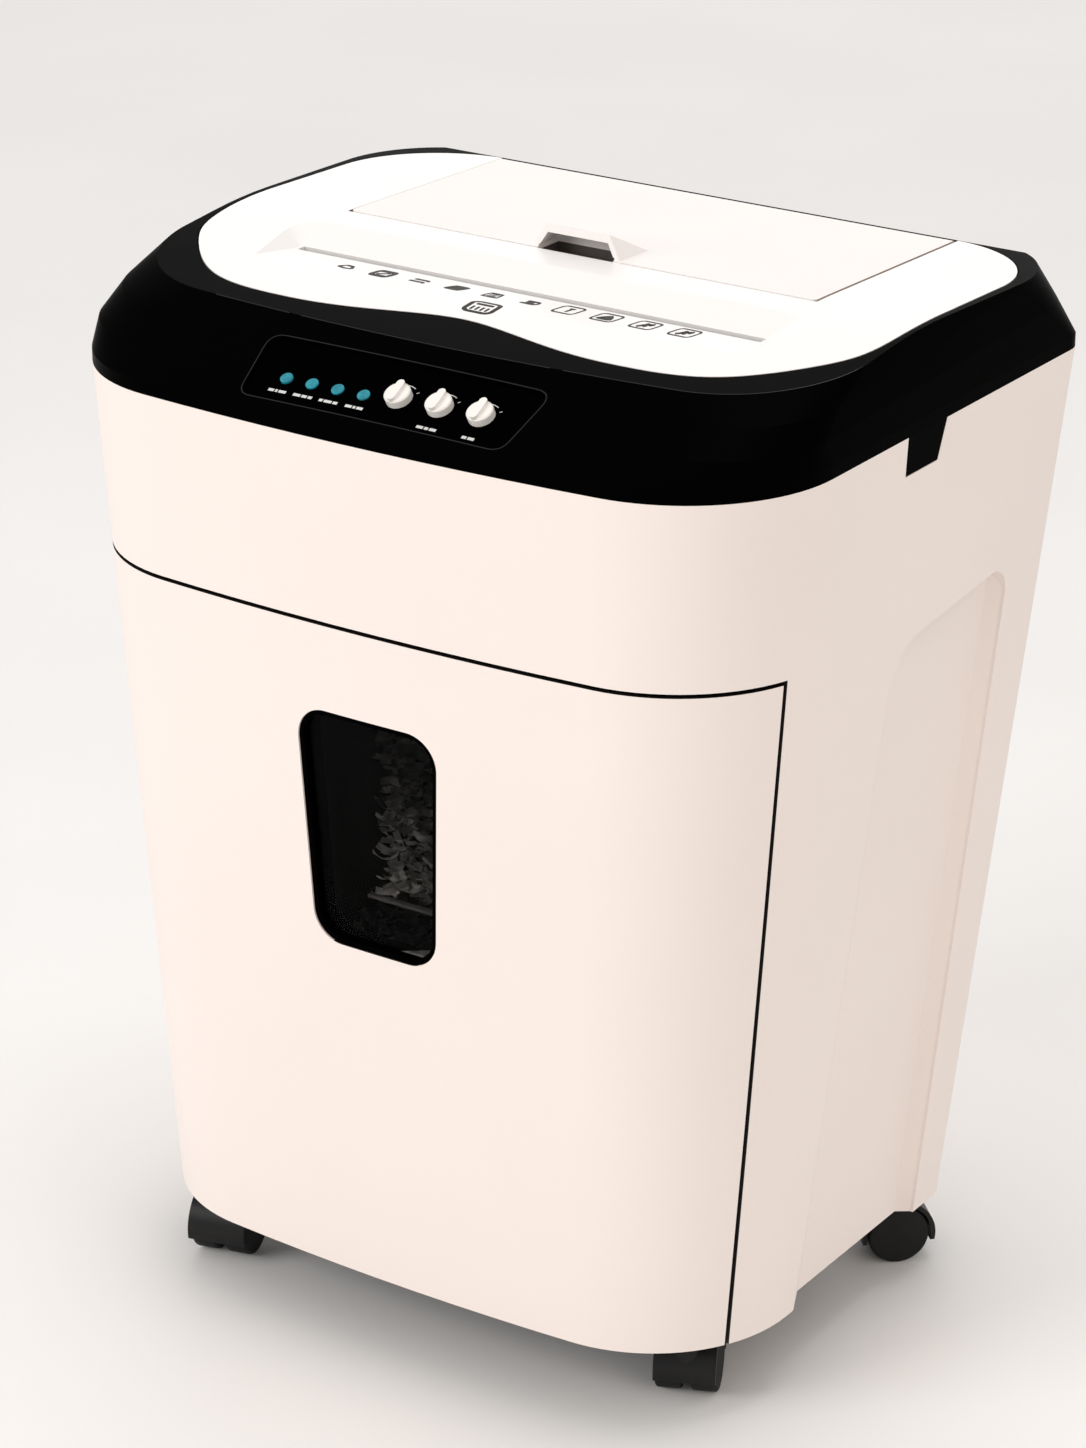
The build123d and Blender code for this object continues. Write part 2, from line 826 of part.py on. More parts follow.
# ---------------------------------------------------------------- head rim, cover and lid
head_outside = head_walls(0, 0) & top_region(0, rear_edge_round)
head_inside = head_walls(rim_wall, rim_fascia_drop) & top_region(rim_roof)
cover_seat = cover_prism(430, 480, cover_gap) - top_region(cover_thickness)
cover_opening = cover_prism(410, 480, -cover_ledge)
side_tabs = [
    (outer_skin - inner_space) & tab_prism(side, 0) for side in (-1, 1)
]
panel_seat = panel_prism(0) - head_walls(0, panel_sink + panel_thickness)
led_places = [(led_first_x + led_pitch * i, led_rise) for i in range(4)]
knob_places = [(knob_first_x + knob_pitch * i, knob_rise) for i in range(3)]
board_posts = [(side * 56.0, rise) for side in (-1, 1) for rise in (13.0, 36.0)]
panel_face = -panel_sink * cos(fascia_slope)
post_root = -rim_fascia_drop  # inside the fascia's skin

with BuildPart() as head_rim:
    add(head_outside)
    add(head_inside, mode=Mode.SUBTRACT)
    add(cover_seat, mode=Mode.SUBTRACT)
    add(cover_opening, mode=Mode.SUBTRACT)
    lid_run = lid_half_width + lid_gap + 3.1
    add(box_between((-lid_run, 90, 446), (lid_run, cover_rear_y + cover_gap, 480)),
        mode=Mode.SUBTRACT)
    add(panel_seat, mode=Mode.SUBTRACT)
    for side_tab in side_tabs:
        add(side_tab)
    for x, rise in board_posts:
        with BuildSketch(fascia_plane(x, rise, post_root)):
            Circle(3.2)
        extrude(amount=-(board_drop - board_thickness + post_root))
    for places, radius in ((led_places, led_radius + 0.4), (knob_places, knob_shaft_radius + 0.6)):
        for x, rise in places:
            with BuildSketch(fascia_plane(x, rise, -10)):
                Circle(radius)
            extrude(amount=12, mode=Mode.SUBTRACT)

cover_top = top_region(0) - trough_void(0)
cover_under = top_region(cover_thickness) - trough_void(cover_thickness)
opening_half = lid_half_width + lid_gap
opening_front = lid_front_y - lid_front_gap
well_wall = 2.0
well_outer = box_between(
    (-opening_half - well_wall, opening_front - well_wall, lid_seat),
    (opening_half + well_wall, cover_rear_y, 480),
)
with BuildPart() as top_cover:
    add(cover_prism(440, 480, 0) & (cover_top - cover_under))
    add(well_outer & top_region(1.0) & cover_prism(440, 480, 0))
    add(box_between((-opening_half, opening_front, 440), (opening_half, 200, 480)),
        mode=Mode.SUBTRACT)
    for side in (-1, 1):
        low, high = sorted((side * hinge_low_x, side * hinge_high_x))
        add(x_cylinder(hinge_y, hinge_level, hinge_radius, low, high), mode=Mode.SUBTRACT)
    add(box_between((-slot_half_length, slot_y - slot_width / 2, 440),
                    (slot_half_length, slot_y + slot_width / 2, 480)), mode=Mode.SUBTRACT)

lid_bottom = lid_seat + fit_gap
lid_block = box_between((-lid_half_width, lid_front_y, lid_bottom), (lid_half_width, hinge_y, 470))
lid_hollow = box_between(
    (-lid_half_width + lid_wall, lid_front_y + lid_wall, lid_bottom - 1),
    (lid_half_width - lid_wall, hinge_y - knuckle_radius - 1.5, 470),
) & top_region(lid_wall - lid_proud)


def hood_form(shrink, front, bottom, tail):
    """Hooded grip on the lid: flat-topped, narrowing upwards, sinking into the lid behind."""
    brow = hood_top - shrink
    rise = hood_brow_y - hood_front_y
    profile = side_prism(
        [(front, bottom), (front + rise, brow), (tail, bottom + 0.5), (tail, bottom)], 60
    )
    with BuildPart() as cheeks:
        with BuildSketch(Plane.XZ.offset(-60)):
            with BuildLine():
                spread = (hood_half_low - hood_half_high) / (hood_top - crown_level)
                low_half = hood_half_low - shrink + spread * (crown_level - bottom)
                high_half = hood_half_high - shrink + spread * shrink
                Polyline(
                    (-low_half, bottom), (low_half, bottom), (high_half, brow), (-high_half, brow),
                    close=True,
                )
            make_face()
        extrude(amount=100)
    return profile & cheeks.part


grip_half = hood_half_low - hood_wall
grip_void = box_between(
    (-grip_half, lid_front_y - 3, grip_floor), (grip_half, grip_back_y, crown_level + 1)
)
hood_void = hood_form(hood_wall, hood_front_y - 4, crown_level, hood_tail_y) & box_between(
    (-60, 0, 440), (60, grip_back_y, 480)
)
grip_box = box_between(
    (-grip_half - grip_wall, lid_front_y + 0.2, grip_floor - grip_wall),
    (grip_half + grip_wall, grip_back_y + grip_wall, crown_level - 1.6),
)
with BuildPart() as lid:
    add(lid_block & top_region(-lid_proud))
    fillet(lid.edges().filter_by(Axis.Z).group_by(Axis.Y)[0], lid_corner)
    add(lid_hollow, mode=Mode.SUBTRACT)
    add(x_cylinder(hinge_y, hinge_level, knuckle_radius, -lid_half_width, lid_half_width))
    add(hood_form(0, hood_front_y, crown_level - 1.5, hood_tail_y))
    add(grip_void, mode=Mode.SUBTRACT)
    add(hood_void, mode=Mode.SUBTRACT)
    add(grip_box, mode=Mode.SUBTRACT)
    for side in (-1, 1):
        low, high = sorted((side * (hinge_low_x - 0.3), side * hinge_high_x))
        bore = hinge_radius + running_fit
        add(x_cylinder(hinge_y, hinge_level, bore, low, high), mode=Mode.SUBTRACT)

with BuildPart() as lid_grip:
    add(grip_box)
    add(box_between((-grip_half, lid_front_y - 3, grip_floor), (grip_half, grip_back_y, 480)),
        mode=Mode.SUBTRACT)

with BuildPart() as lid_hinge_pins:
    for side in (-1, 1):
        low, high = sorted((side * hinge_low_x, side * hinge_high_x))
        add(x_cylinder(hinge_y, hinge_level, hinge_radius, low, high))


# ---------------------------------------------------------------- control panel
with BuildPart() as control_panel:
    add(panel_prism(0.2)
        & (head_walls(0, panel_sink) - head_walls(0, panel_sink + panel_thickness)))
    for x, rise in led_places:
        with BuildSketch(fascia_plane(x, rise, -10)):
            Circle(led_radius + 0.1)
        extrude(amount=12, mode=Mode.SUBTRACT)
    for x, rise in knob_places:
        with BuildSketch(fascia_plane(x, rise, -10)):
            Circle(knob_shaft_radius + 0.4)
        extrude(amount=12, mode=Mode.SUBTRACT)

board_centre = (13.0 + 36.0) / 2
with BuildPart() as control_board:
    with BuildSketch(fascia_plane(0, board_centre, -board_drop)):
        Rectangle(122, 31)
    extrude(amount=board_thickness)
    for x, rise in board_posts:
        with BuildSketch(fascia_plane(x, rise, -board_drop - 1)):
            Circle(1.6)
        extrude(amount=4, mode=Mode.SUBTRACT)
    with BuildSketch(fascia_plane(-30, 31, -board_drop)):
        Rectangle(14, 10)
    extrude(amount=-2.5)

with BuildPart() as board_screws:
    for x, rise in board_posts:
        spot = fascia_plane(x, rise, -board_drop)
        with BuildSketch(spot):
            Circle(1.6)
        extrude(amount=board_thickness)
        with BuildSketch(spot):
            Circle(3)
        extrude(amount=-1.8)

with BuildPart() as led_lenses:
    for x, rise in led_places:
        with BuildSketch(fascia_plane(x, rise, -board_drop + board_thickness)):
            Circle(led_radius)
        extrude(amount=board_drop - board_thickness + panel_face + 0.5)

with BuildPart() as knob_switches:
    for x, rise in knob_places:
        with BuildSketch(fascia_plane(x, rise, -board_drop + board_thickness)):
            Rectangle(11, 11)
            Circle(knob_shaft_radius + running_fit, mode=Mode.SUBTRACT)
        extrude(amount=5)


def knob_at(x):
    """Selector knob with a pointer ridge, on its shaft."""
    base = fascia_plane(x, knob_rise, panel_face + 0.4)
    with BuildPart() as knob:
        with BuildSketch(base):
            Circle(knob_radius)
        extrude(amount=knob_height)
        chamfer(knob.edges().sort_by(Axis((0, 0, 0), base.z_dir))[-1], 0.5)
        with BuildSketch(base):
            SlotOverall(2 * knob_radius - 0.2, knob_ridge_width, rotation=90)
        extrude(amount=knob_ridge_height)
        with BuildSketch(fascia_plane(x, knob_rise, -board_drop + board_thickness + 0.4)):
            Circle(knob_shaft_radius)
        extrude(amount=board_drop - board_thickness + panel_face + 0.2)
    return knob


knobs = [knob_at(x) for x, rise in knob_places]


# ---------------------------------------------------------------- shredding unit
def cutter_part(axis, shift, left_end, right_end):
    """Ridged cutter roller with its journals, turned from one bar."""
    y, z = axis
    first = shift - ridge_pitch * (ridge_count - 1) / 2
    half_core = plate_x - 2
    with BuildPart() as cutter:
        add(x_cylinder(y, z, journal_radius, left_end, right_end))
        add(x_cylinder(y, z, core_radius, -half_core, half_core))
        for i in range(ridge_count):
            middle = first + ridge_pitch * i
            add(x_cylinder(y, z, ridge_radius, middle - ridge_width / 2, middle + ridge_width / 2))
        for i in range(notch_count):
            turn = radians(360 * i / notch_count + 20)
            with BuildSketch(Plane.YZ.offset(-half_core)):
                with BuildLine():
                    spots = []
                    for radius, across in (
                        (ridge_radius + 1, -notch_half_width / 2),
                        (ridge_radius - notch_depth, 0),
                        (ridge_radius + 1, notch_half_width * 1.5),
                    ):
                        swing = turn + across / radius
                        spots.append((y + radius * cos(swing), z + radius * sin(swing)))
                    Polyline(*spots, close=True)
                make_face()
            extrude(amount=2 * half_core, mode=Mode.SUBTRACT)
    return cutter


sync_high = layer_a + gear_width
cutter_front = cutter_part(front_axis, -ridge_pitch / 4, -plate_outer - 1, sync_high)
cutter_rear = cutter_part(rear_axis, ridge_pitch / 4, -layer_b - gear_width, sync_high)


def comb_part(axis, shift, side):
    """Stripper comb whose fingers lie in the grooves of one cutter."""
    y, z = axis
    back = y + side * (ridge_radius + cutter_clearance)
    far = back + side * comb_thickness
    first = shift - ridge_pitch * (ridge_count - 1) / 2
    with BuildPart() as comb:
        add(box_between((-plate_x, min(back, far), z - comb_half_height),
                        (plate_x, max(back, far), z + comb_half_height)))
        tip = y + side * 6
        for i in range(ridge_count - 1):
            middle = first + ridge_pitch * (i + 0.5)
            add(box_between((middle - finger_width / 2, min(back, tip), z - finger_half_height),
                            (middle + finger_width / 2, max(back, tip), z + finger_half_height)))
        add(x_cylinder(y, z, core_radius + cutter_clearance, -plate_x, plate_x),
            mode=Mode.SUBTRACT)
    return comb


comb_front = comb_part(front_axis, -ridge_pitch / 4, -1)
comb_rear = comb_part(rear_axis, ridge_pitch / 4, 1)


def frame_plate(side, rear_y):
    """Upright steel side plate with a folded foot."""
    inner, outer = side * plate_x, side * plate_outer
    toe = side * (plate_outer + foot_width)
    with BuildPart() as plate:
        add(box_between((min(inner, outer), plate_front_y, deck_top),
                        (max(inner, outer), rear_y, plate_top)))
        add(box_between((min(inner, toe), plate_front_y, deck_top),
                        (max(inner, toe), rear_y, deck_top + plate_thickness)))
        low, high = sorted((inner, outer))
        for y, z in (front_axis, rear_axis):
            add(x_cylinder(y, z, bush_radius, low, high), mode=Mode.SUBTRACT)
        for y, z in tie_places:
            add(x_cylinder(y, z, tie_radius, low, high), mode=Mode.SUBTRACT)
        add(x_cylinder(*feed_axis, shaft_radius + running_fit, low, high), mode=Mode.SUBTRACT)
        pin_axis = idler_axis if side > 0 else middle_axis
        add(x_cylinder(*pin_axis, shaft_radius, low, high), mode=Mode.SUBTRACT)
        if side < 0:
            add(x_cylinder(*motor_axis, 8, low, high), mode=Mode.SUBTRACT)
        for y in foot_screw_ys(rear_y):
            x = side * (plate_outer + foot_width / 2)
            add(z_cylinder(x, y, 1.6, deck_top, deck_top + plate_thickness), mode=Mode.SUBTRACT)
    return plate


def foot_screw_ys(rear_y):
    """Places of the two screws along a plate's foot."""
    return (plate_front_y + 10, rear_y - 10)


frame_left = frame_plate(-1, plate_left_rear_y)
frame_right = frame_plate(1, plate_right_rear_y)

with BuildPart() as cutter_bushes:
    for side in (-1, 1):
        for y, z in (front_axis, rear_axis):
            low, high = sorted((side * (plate_x - 1), side * (plate_outer + 1)))
            add(x_cylinder(y, z, bush_radius, low, high))
            add(x_cylinder(y, z, journal_radius + running_fit, low, high), mode=Mode.SUBTRACT)

with BuildPart() as tie_rods:
    for y, z in tie_places:
        add(x_cylinder(y, z, tie_radius, -plate_outer, plate_outer))

deck_slab = tapered_body(deck_level, deck_top, wall + 0.3)
frame_screw_places = [
    (side * (plate_outer + foot_width / 2), y)
    for side, rear_y in ((-1, plate_left_rear_y), (1, plate_right_rear_y))
    for y in foot_screw_ys(rear_y)
]
with BuildPart() as deck:
    add(deck_slab)
    add(box_between((-deck_hole_half_x, -deck_hole_half_y, 340),
                    (deck_hole_half_x, deck_hole_half_y, 360)), mode=Mode.SUBTRACT)
    for x, y in deck_screws_at + frame_screw_places:
        add(z_cylinder(x, y, 1.6, 340, 360), mode=Mode.SUBTRACT)

with BuildPart() as chassis_screws:
    for x, y in deck_screws_at:
        add(screw_at(x, y, deck_top, (0, 0, -1), length=deck_thickness + ledge_height))
    for x, y in frame_screw_places:
        add(screw_at(x, y, deck_top + plate_thickness, (0, 0, -1),
                     length=deck_thickness + plate_thickness))

with BuildPart() as throat_guide:
    front_sheet = [
        (slot_y - 7, guide_top), (slot_y - 7 + guide_thickness, guide_top),
        (-6 + guide_thickness, guide_foot), (-6, guide_foot),
    ]
    rear_sheet = [
        (slot_y + 5.4, guide_top), (slot_y + 5.4 + guide_thickness, guide_top),
        (6, guide_foot + 5), (6 - guide_thickness, guide_foot + 5),
    ]
    cheek = [
        (slot_y - 7, guide_top), (slot_y + 5.4, guide_top), (5, guide_foot + 5), (-6, guide_foot)
    ]
    half = slot_half_length - 3
    add(side_prism(front_sheet, half))
    add(side_prism(rear_sheet, half))
    for side in (-1, 1):
        add(Pos(side * (half + 1), 0, 0) * side_prism(cheek, 1))

with BuildPart() as paper_sensor:
    add(box_between((-9, slot_y - 17, 441), (9, slot_y - 7.2, 450)))
    add(side_prism([(slot_y - 7.2, 450), (slot_y - 7.2, 441), (slot_y + 3.2, 441)], 8))
    add(side_prism(
        [(slot_y - 7, guide_top), (40, guide_top), (40, guide_foot), (-6, guide_foot)], 20
    ), mode=Mode.SUBTRACT)


# ---------------------------------------------------------------- gears, motor and feed
sync_gear_rear = gear_wheel(sync_teeth, sync_tooth, rear_axis, layer_a, sync_high, journal_radius)
sync_gear_front = gear_wheel(
    sync_teeth, front_sync_tooth, front_axis, layer_a, sync_high, journal_radius
)
final_drive_gear = gear_wheel(
    final_teeth, sync_tooth, rear_axis, -layer_b - gear_width, -layer_b, journal_radius
)
pin_bore = shaft_radius + running_fit
small_wheel = gear_wheel(
    small_teeth, small_tooth, middle_axis, -layer_b - gear_width, -layer_b, pin_bore
)
large_wheel = gear_wheel(
    large_teeth, small_tooth, middle_axis, -layer_a - gear_width, -layer_a, pin_bore
)
idler_wheel = gear_wheel(idler_teeth, idler_tooth, idler_axis, layer_a, sync_high, pin_bore)
feed_wheel = gear_wheel(feed_teeth, feed_tooth, feed_axis, layer_a, sync_high, shaft_radius)
pinion_wheel = gear_wheel(
    pinion_teeth, pinion_tooth, motor_axis, -layer_a - gear_width, -layer_a, shaft_radius
)

with BuildPart() as rear_sync_gear:
    add(sync_gear_rear)
with BuildPart() as front_sync_gear:
    add(sync_gear_front)
with BuildPart() as final_gear:
    add(final_drive_gear)
with BuildPart() as intermediate_gear:
    add(small_wheel)
    add(large_wheel)
    hub_low, hub_high = -layer_b, -layer_a - gear_width
    add(x_cylinder(*middle_axis, small_teeth * gear_module / 2 - 2, hub_low, hub_high)
        - x_cylinder(*middle_axis, pin_bore, hub_low, hub_high))
with BuildPart() as idler_gear:
    add(idler_wheel)
with BuildPart() as feed_gear:
    add(feed_wheel)
with BuildPart() as gear_pins:
    add(x_cylinder(*middle_axis, shaft_radius, -case_outer, -plate_x))
    add(x_cylinder(*idler_axis, shaft_radius, plate_x, sync_high + 1))
    add(x_cylinder(*idler_axis, shaft_radius + 2.5, sync_high + 0.4, sync_high + 1.6))

motor_left = -plate_x
motor_right = motor_left + motor_length
with BuildPart() as motor:
    add(x_cylinder(*motor_axis, motor_radius, motor_left, motor_right))
    add(x_cylinder(*motor_axis, 8, -plate_outer, motor_left))
    add(x_cylinder(*motor_axis, 12, motor_right, motor_right + 5))
    add(x_cylinder(*motor_axis, pin_bore, -plate_outer, motor_right + 5), mode=Mode.SUBTRACT)
with BuildPart() as motor_shaft:
    add(pinion_wheel)
    add(x_cylinder(*motor_axis, shaft_radius, -layer_a - gear_width, motor_right + 8))

with BuildPart() as gear_case:
    add(box_between((-case_outer, case_low_y, case_low), (-plate_outer, case_high_y, case_high)))
    fillet(gear_case.edges().filter_by(Axis.X), 10)
    add(box_between((-case_outer + case_wall, case_low_y + case_wall, case_low + case_wall),
                    (-plate_outer, case_high_y - case_wall, case_high - case_wall)),
        mode=Mode.SUBTRACT)
    add(x_cylinder(*middle_axis, shaft_radius, -case_outer, -plate_outer), mode=Mode.SUBTRACT)

roller_xs = (-72.0, 0.0, 72.0)
roller_width = 22.0
with BuildPart() as feed_shaft:
    add(x_cylinder(*feed_axis, shaft_radius, -plate_outer - 1, sync_high))
with BuildPart() as feed_rollers:
    for x in roller_xs:
        low, high = x - roller_width / 2, x + roller_width / 2
        add(x_cylinder(*feed_axis, feed_roller_radius, low, high)
            - x_cylinder(*feed_axis, shaft_radius, low, high))


# ---------------------------------------------------------------- tray and electrics
with BuildPart() as paper_tray:
    add(box_between((-tray_half_width - tray_wall, tray_front_y - tray_wall, tray_floor - tray_wall),
                    (tray_half_width + tray_wall, tray_rear_y + tray_wall, lid_seat)))
    add(box_between((-tray_flange_half, tray_flange_front_y, lid_seat - tray_wall),
                    (tray_flange_half, tray_flange_rear_y, lid_seat)))
    add(box_between((-tray_half_width, tray_front_y, tray_floor),
                    (tray_half_width, tray_rear_y, lid_seat + 1)), mode=Mode.SUBTRACT)
    for x in roller_xs:
        half = roller_width / 2 + 1.5
        add(box_between((x - half, feed_axis[0] - 10.5, 430), (x + half, feed_axis[0] + 10.5, 450)),
            mode=Mode.SUBTRACT)
    add(box_between((-100, tray_front_y, 430), (100, tray_front_y + 8, 450)), mode=Mode.SUBTRACT)

with BuildPart() as power_inlet:
    with BuildSketch(inlet_plane):
        RectangleRounded(inlet_size[0] + 6, inlet_size[1] + 6, 3)
    extrude(amount=2)
    with BuildSketch(inlet_plane):
        Rectangle(inlet_size[0], inlet_size[1])
    extrude(amount=-20)
    with BuildSketch(inlet_plane.offset(2)):
        RectangleRounded(24, 16, 3)
    extrude(amount=-17, mode=Mode.SUBTRACT)
    with BuildSketch(inlet_plane.offset(-16)):
        with Locations((-7, 0), (0, 3), (7, 0)):
            Rectangle(2, 4)
    extrude(amount=10)

rocker_radius = 1.5
rocker_sink = 3.0
with BuildPart() as switch_body:
    with BuildSketch(switch_plane):
        RectangleRounded(switch_size[0] + 5, switch_size[1] + 5, 2)
    extrude(amount=1.8)
    with BuildSketch(switch_plane):
        Rectangle(switch_size[0], switch_size[1])
    extrude(amount=-16)
    with BuildSketch(switch_plane.offset(1.8)):
        Rectangle(switch_size[0] - 3, switch_size[1] - 3)
    extrude(amount=-11, mode=Mode.SUBTRACT)
    with BuildSketch(Plane(switch_plane.origin - switch_plane.z_dir * rocker_sink,
                           x_dir=switch_plane.x_dir, z_dir=switch_plane.y_dir).offset(-9)):
        Circle(rocker_radius)
    extrude(amount=18, mode=Mode.SUBTRACT)

with BuildPart() as switch_rocker:
    side_on = Plane(switch_plane.origin - switch_plane.z_dir * rocker_sink,
                    x_dir=switch_plane.x_dir, z_dir=switch_plane.y_dir)
    half_long = switch_size[0] / 2 - 2.4
    half_tall = switch_size[1] / 2 - 2.0
    with BuildSketch(side_on.offset(-half_tall)):
        with BuildLine():
            Line((-half_long, 3.4), (-half_long + 1.6, -4.6))
            Line((-half_long + 1.6, -4.6), (half_long - 1.6, -4.6))
            Line((half_long - 1.6, -4.6), (half_long, 3.4))
            ThreePointArc((half_long, 3.4), (0, 5.0), (-half_long, 3.4))
        make_face()
    extrude(amount=2 * half_tall)
    with BuildSketch(side_on.offset(-switch_size[1] / 2 + 0.4)):
        Circle(rocker_radius - running_fit)
    extrude(amount=switch_size[1] - 0.8)

with BuildPart() as interlock_sensor:
    add(box_between((magnet_x - 9, -122, bin_top_level + 4), (magnet_x + 9, -108, deck_level)))


# ---------------------------------------------------------------- casters
def caster(x, y, turn):
    """Hood with its stem, and the twin wheels on their axle, of one swivelling caster."""
    half_hood = web_half + side_play + wheel_width
    fender = wheel_radius + fender_gap + fender_wall
    with BuildPart() as hood:
        add(x_cylinder(caster_trail, wheel_radius, fender, -half_hood, half_hood))
        add(z_cylinder(0, 0, neck_radius, wheel_radius, foot_level - 0.6))
        for side in (-1, 1):
            low, high = sorted((side * web_half, side * (half_hood + 1)))
            add(x_cylinder(caster_trail, wheel_radius, wheel_radius + fender_gap, low, high),
                mode=Mode.SUBTRACT)
        add(box_between((-20, caster_trail - 30, -10), (20, caster_trail + 30, wheel_radius - 3.5)),
            mode=Mode.SUBTRACT)
        add(z_cylinder(0, 0, stem_radius, foot_level - 6, stem_top))
        add(x_cylinder(caster_trail, wheel_radius, axle_radius + running_fit, -20, 20),
            mode=Mode.SUBTRACT)
    with BuildPart() as wheels:
        for side in (-1, 1):
            low, high = sorted((side * (web_half + side_play), side * half_hood))
            wheel = x_cylinder(caster_trail, wheel_radius, wheel_radius, low, high)
            add(wheel.fillet(1.5, wheel.edges().filter_by(GeomType.CIRCLE)))
        reach = half_hood - 2
        add(x_cylinder(caster_trail, wheel_radius, axle_radius, -reach, reach))
    for piece in (hood, wheels):
        piece.part = Pos(x, y, 0) * Rot(0, 0, turn) * piece.part
    return hood, wheels


casters = [(name, *caster(x, y, turn)) for name, x, y, turn in caster_layout]


# ---------------------------------------------------------------- files
finish(cabinet_shell, "cabinet_shell")
finish(cabinet_base, "cabinet_base")
finish(caster_sockets, "caster_sockets")
finish(deck, "chassis_deck")
finish(chassis_screws, "chassis_screws")
finish(bin_front, "bin_front")
finish(bin_tub, "bin_tub")
finish(window_bezel, "window_bezel")
finish(window_pane, "window_pane")
finish(bin_screws, "bin_screws")
finish(bin_magnet, "bin_magnet")
finish(head_rim, "head_rim")
finish(top_cover, "top_cover")
finish(lid, "lid")
finish(lid_grip, "lid_grip")
finish(lid_hinge_pins, "lid_hinge_pins")
finish(control_panel, "control_panel")
finish(control_board, "control_board")
finish(board_screws, "board_screws")
finish(led_lenses, "led_lenses")
finish(knob_switches, "knob_switches")
for number, knob in enumerate(knobs, 1):
    finish(knob, f"knob_{number}")
finish(cutter_front, "cutter_front")
finish(cutter_rear, "cutter_rear")
finish(comb_front, "stripper_comb_front")
finish(comb_rear, "stripper_comb_rear")
finish(frame_left, "frame_plate_left")
finish(frame_right, "frame_plate_right")
finish(cutter_bushes, "cutter_bushes")
finish(tie_rods, "tie_rods")
finish(throat_guide, "throat_guide")
finish(paper_sensor, "paper_sensor")
finish(rear_sync_gear, "sync_gear_rear")
finish(front_sync_gear, "sync_gear_front")
finish(final_gear, "final_gear")
finish(intermediate_gear, "intermediate_gear")
finish(gear_pins, "gear_pins")
finish(idler_gear, "idler_gear")
finish(feed_gear, "feed_gear")
finish(motor, "motor")
finish(motor_shaft, "motor_shaft")
finish(gear_case, "gear_case")
finish(feed_shaft, "feed_shaft")
finish(feed_rollers, "feed_rollers")
finish(paper_tray, "paper_tray")
finish(power_inlet, "power_inlet")
finish(switch_body, "switch_body")
finish(switch_rocker, "switch_rocker")
finish(interlock_sensor, "interlock_sensor")
for place, hood, wheels in casters:
    finish(hood, f"caster_hood_{place}")
    finish(wheels, f"caster_wheels_{place}")
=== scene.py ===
import math
import random

import bmesh
import bpy
from mathutils import Matrix, Vector
from mathutils.bvhtree import BVHTree


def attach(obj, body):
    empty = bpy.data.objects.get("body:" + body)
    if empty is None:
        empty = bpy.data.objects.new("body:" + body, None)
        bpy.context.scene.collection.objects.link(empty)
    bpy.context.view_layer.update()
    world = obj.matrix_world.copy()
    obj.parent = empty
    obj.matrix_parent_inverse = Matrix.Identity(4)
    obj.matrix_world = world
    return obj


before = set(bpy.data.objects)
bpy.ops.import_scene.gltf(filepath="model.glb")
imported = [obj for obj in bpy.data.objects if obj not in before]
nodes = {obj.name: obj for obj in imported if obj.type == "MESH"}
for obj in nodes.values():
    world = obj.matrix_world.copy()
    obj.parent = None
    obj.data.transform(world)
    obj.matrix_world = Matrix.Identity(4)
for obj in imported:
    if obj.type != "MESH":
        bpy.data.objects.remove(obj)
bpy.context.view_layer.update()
rng = random.Random(7)

scene = bpy.context.scene
scene.view_settings.view_transform = "Standard"
scene.view_settings.look = "None"
scene.view_settings.exposure = 0.0
scene.view_settings.gamma = 1.0


# ---------------------------------------------------------------- colours and materials
def linear(r, g, b):
    """sRGB 0-255 to linear colour."""
    out = []
    for v in (r, g, b):
        v /= 255.0
        out.append(v / 12.92 if v <= 0.04045 else ((v + 0.055) / 1.055) ** 2.4)
    return tuple(out) + (1.0,)


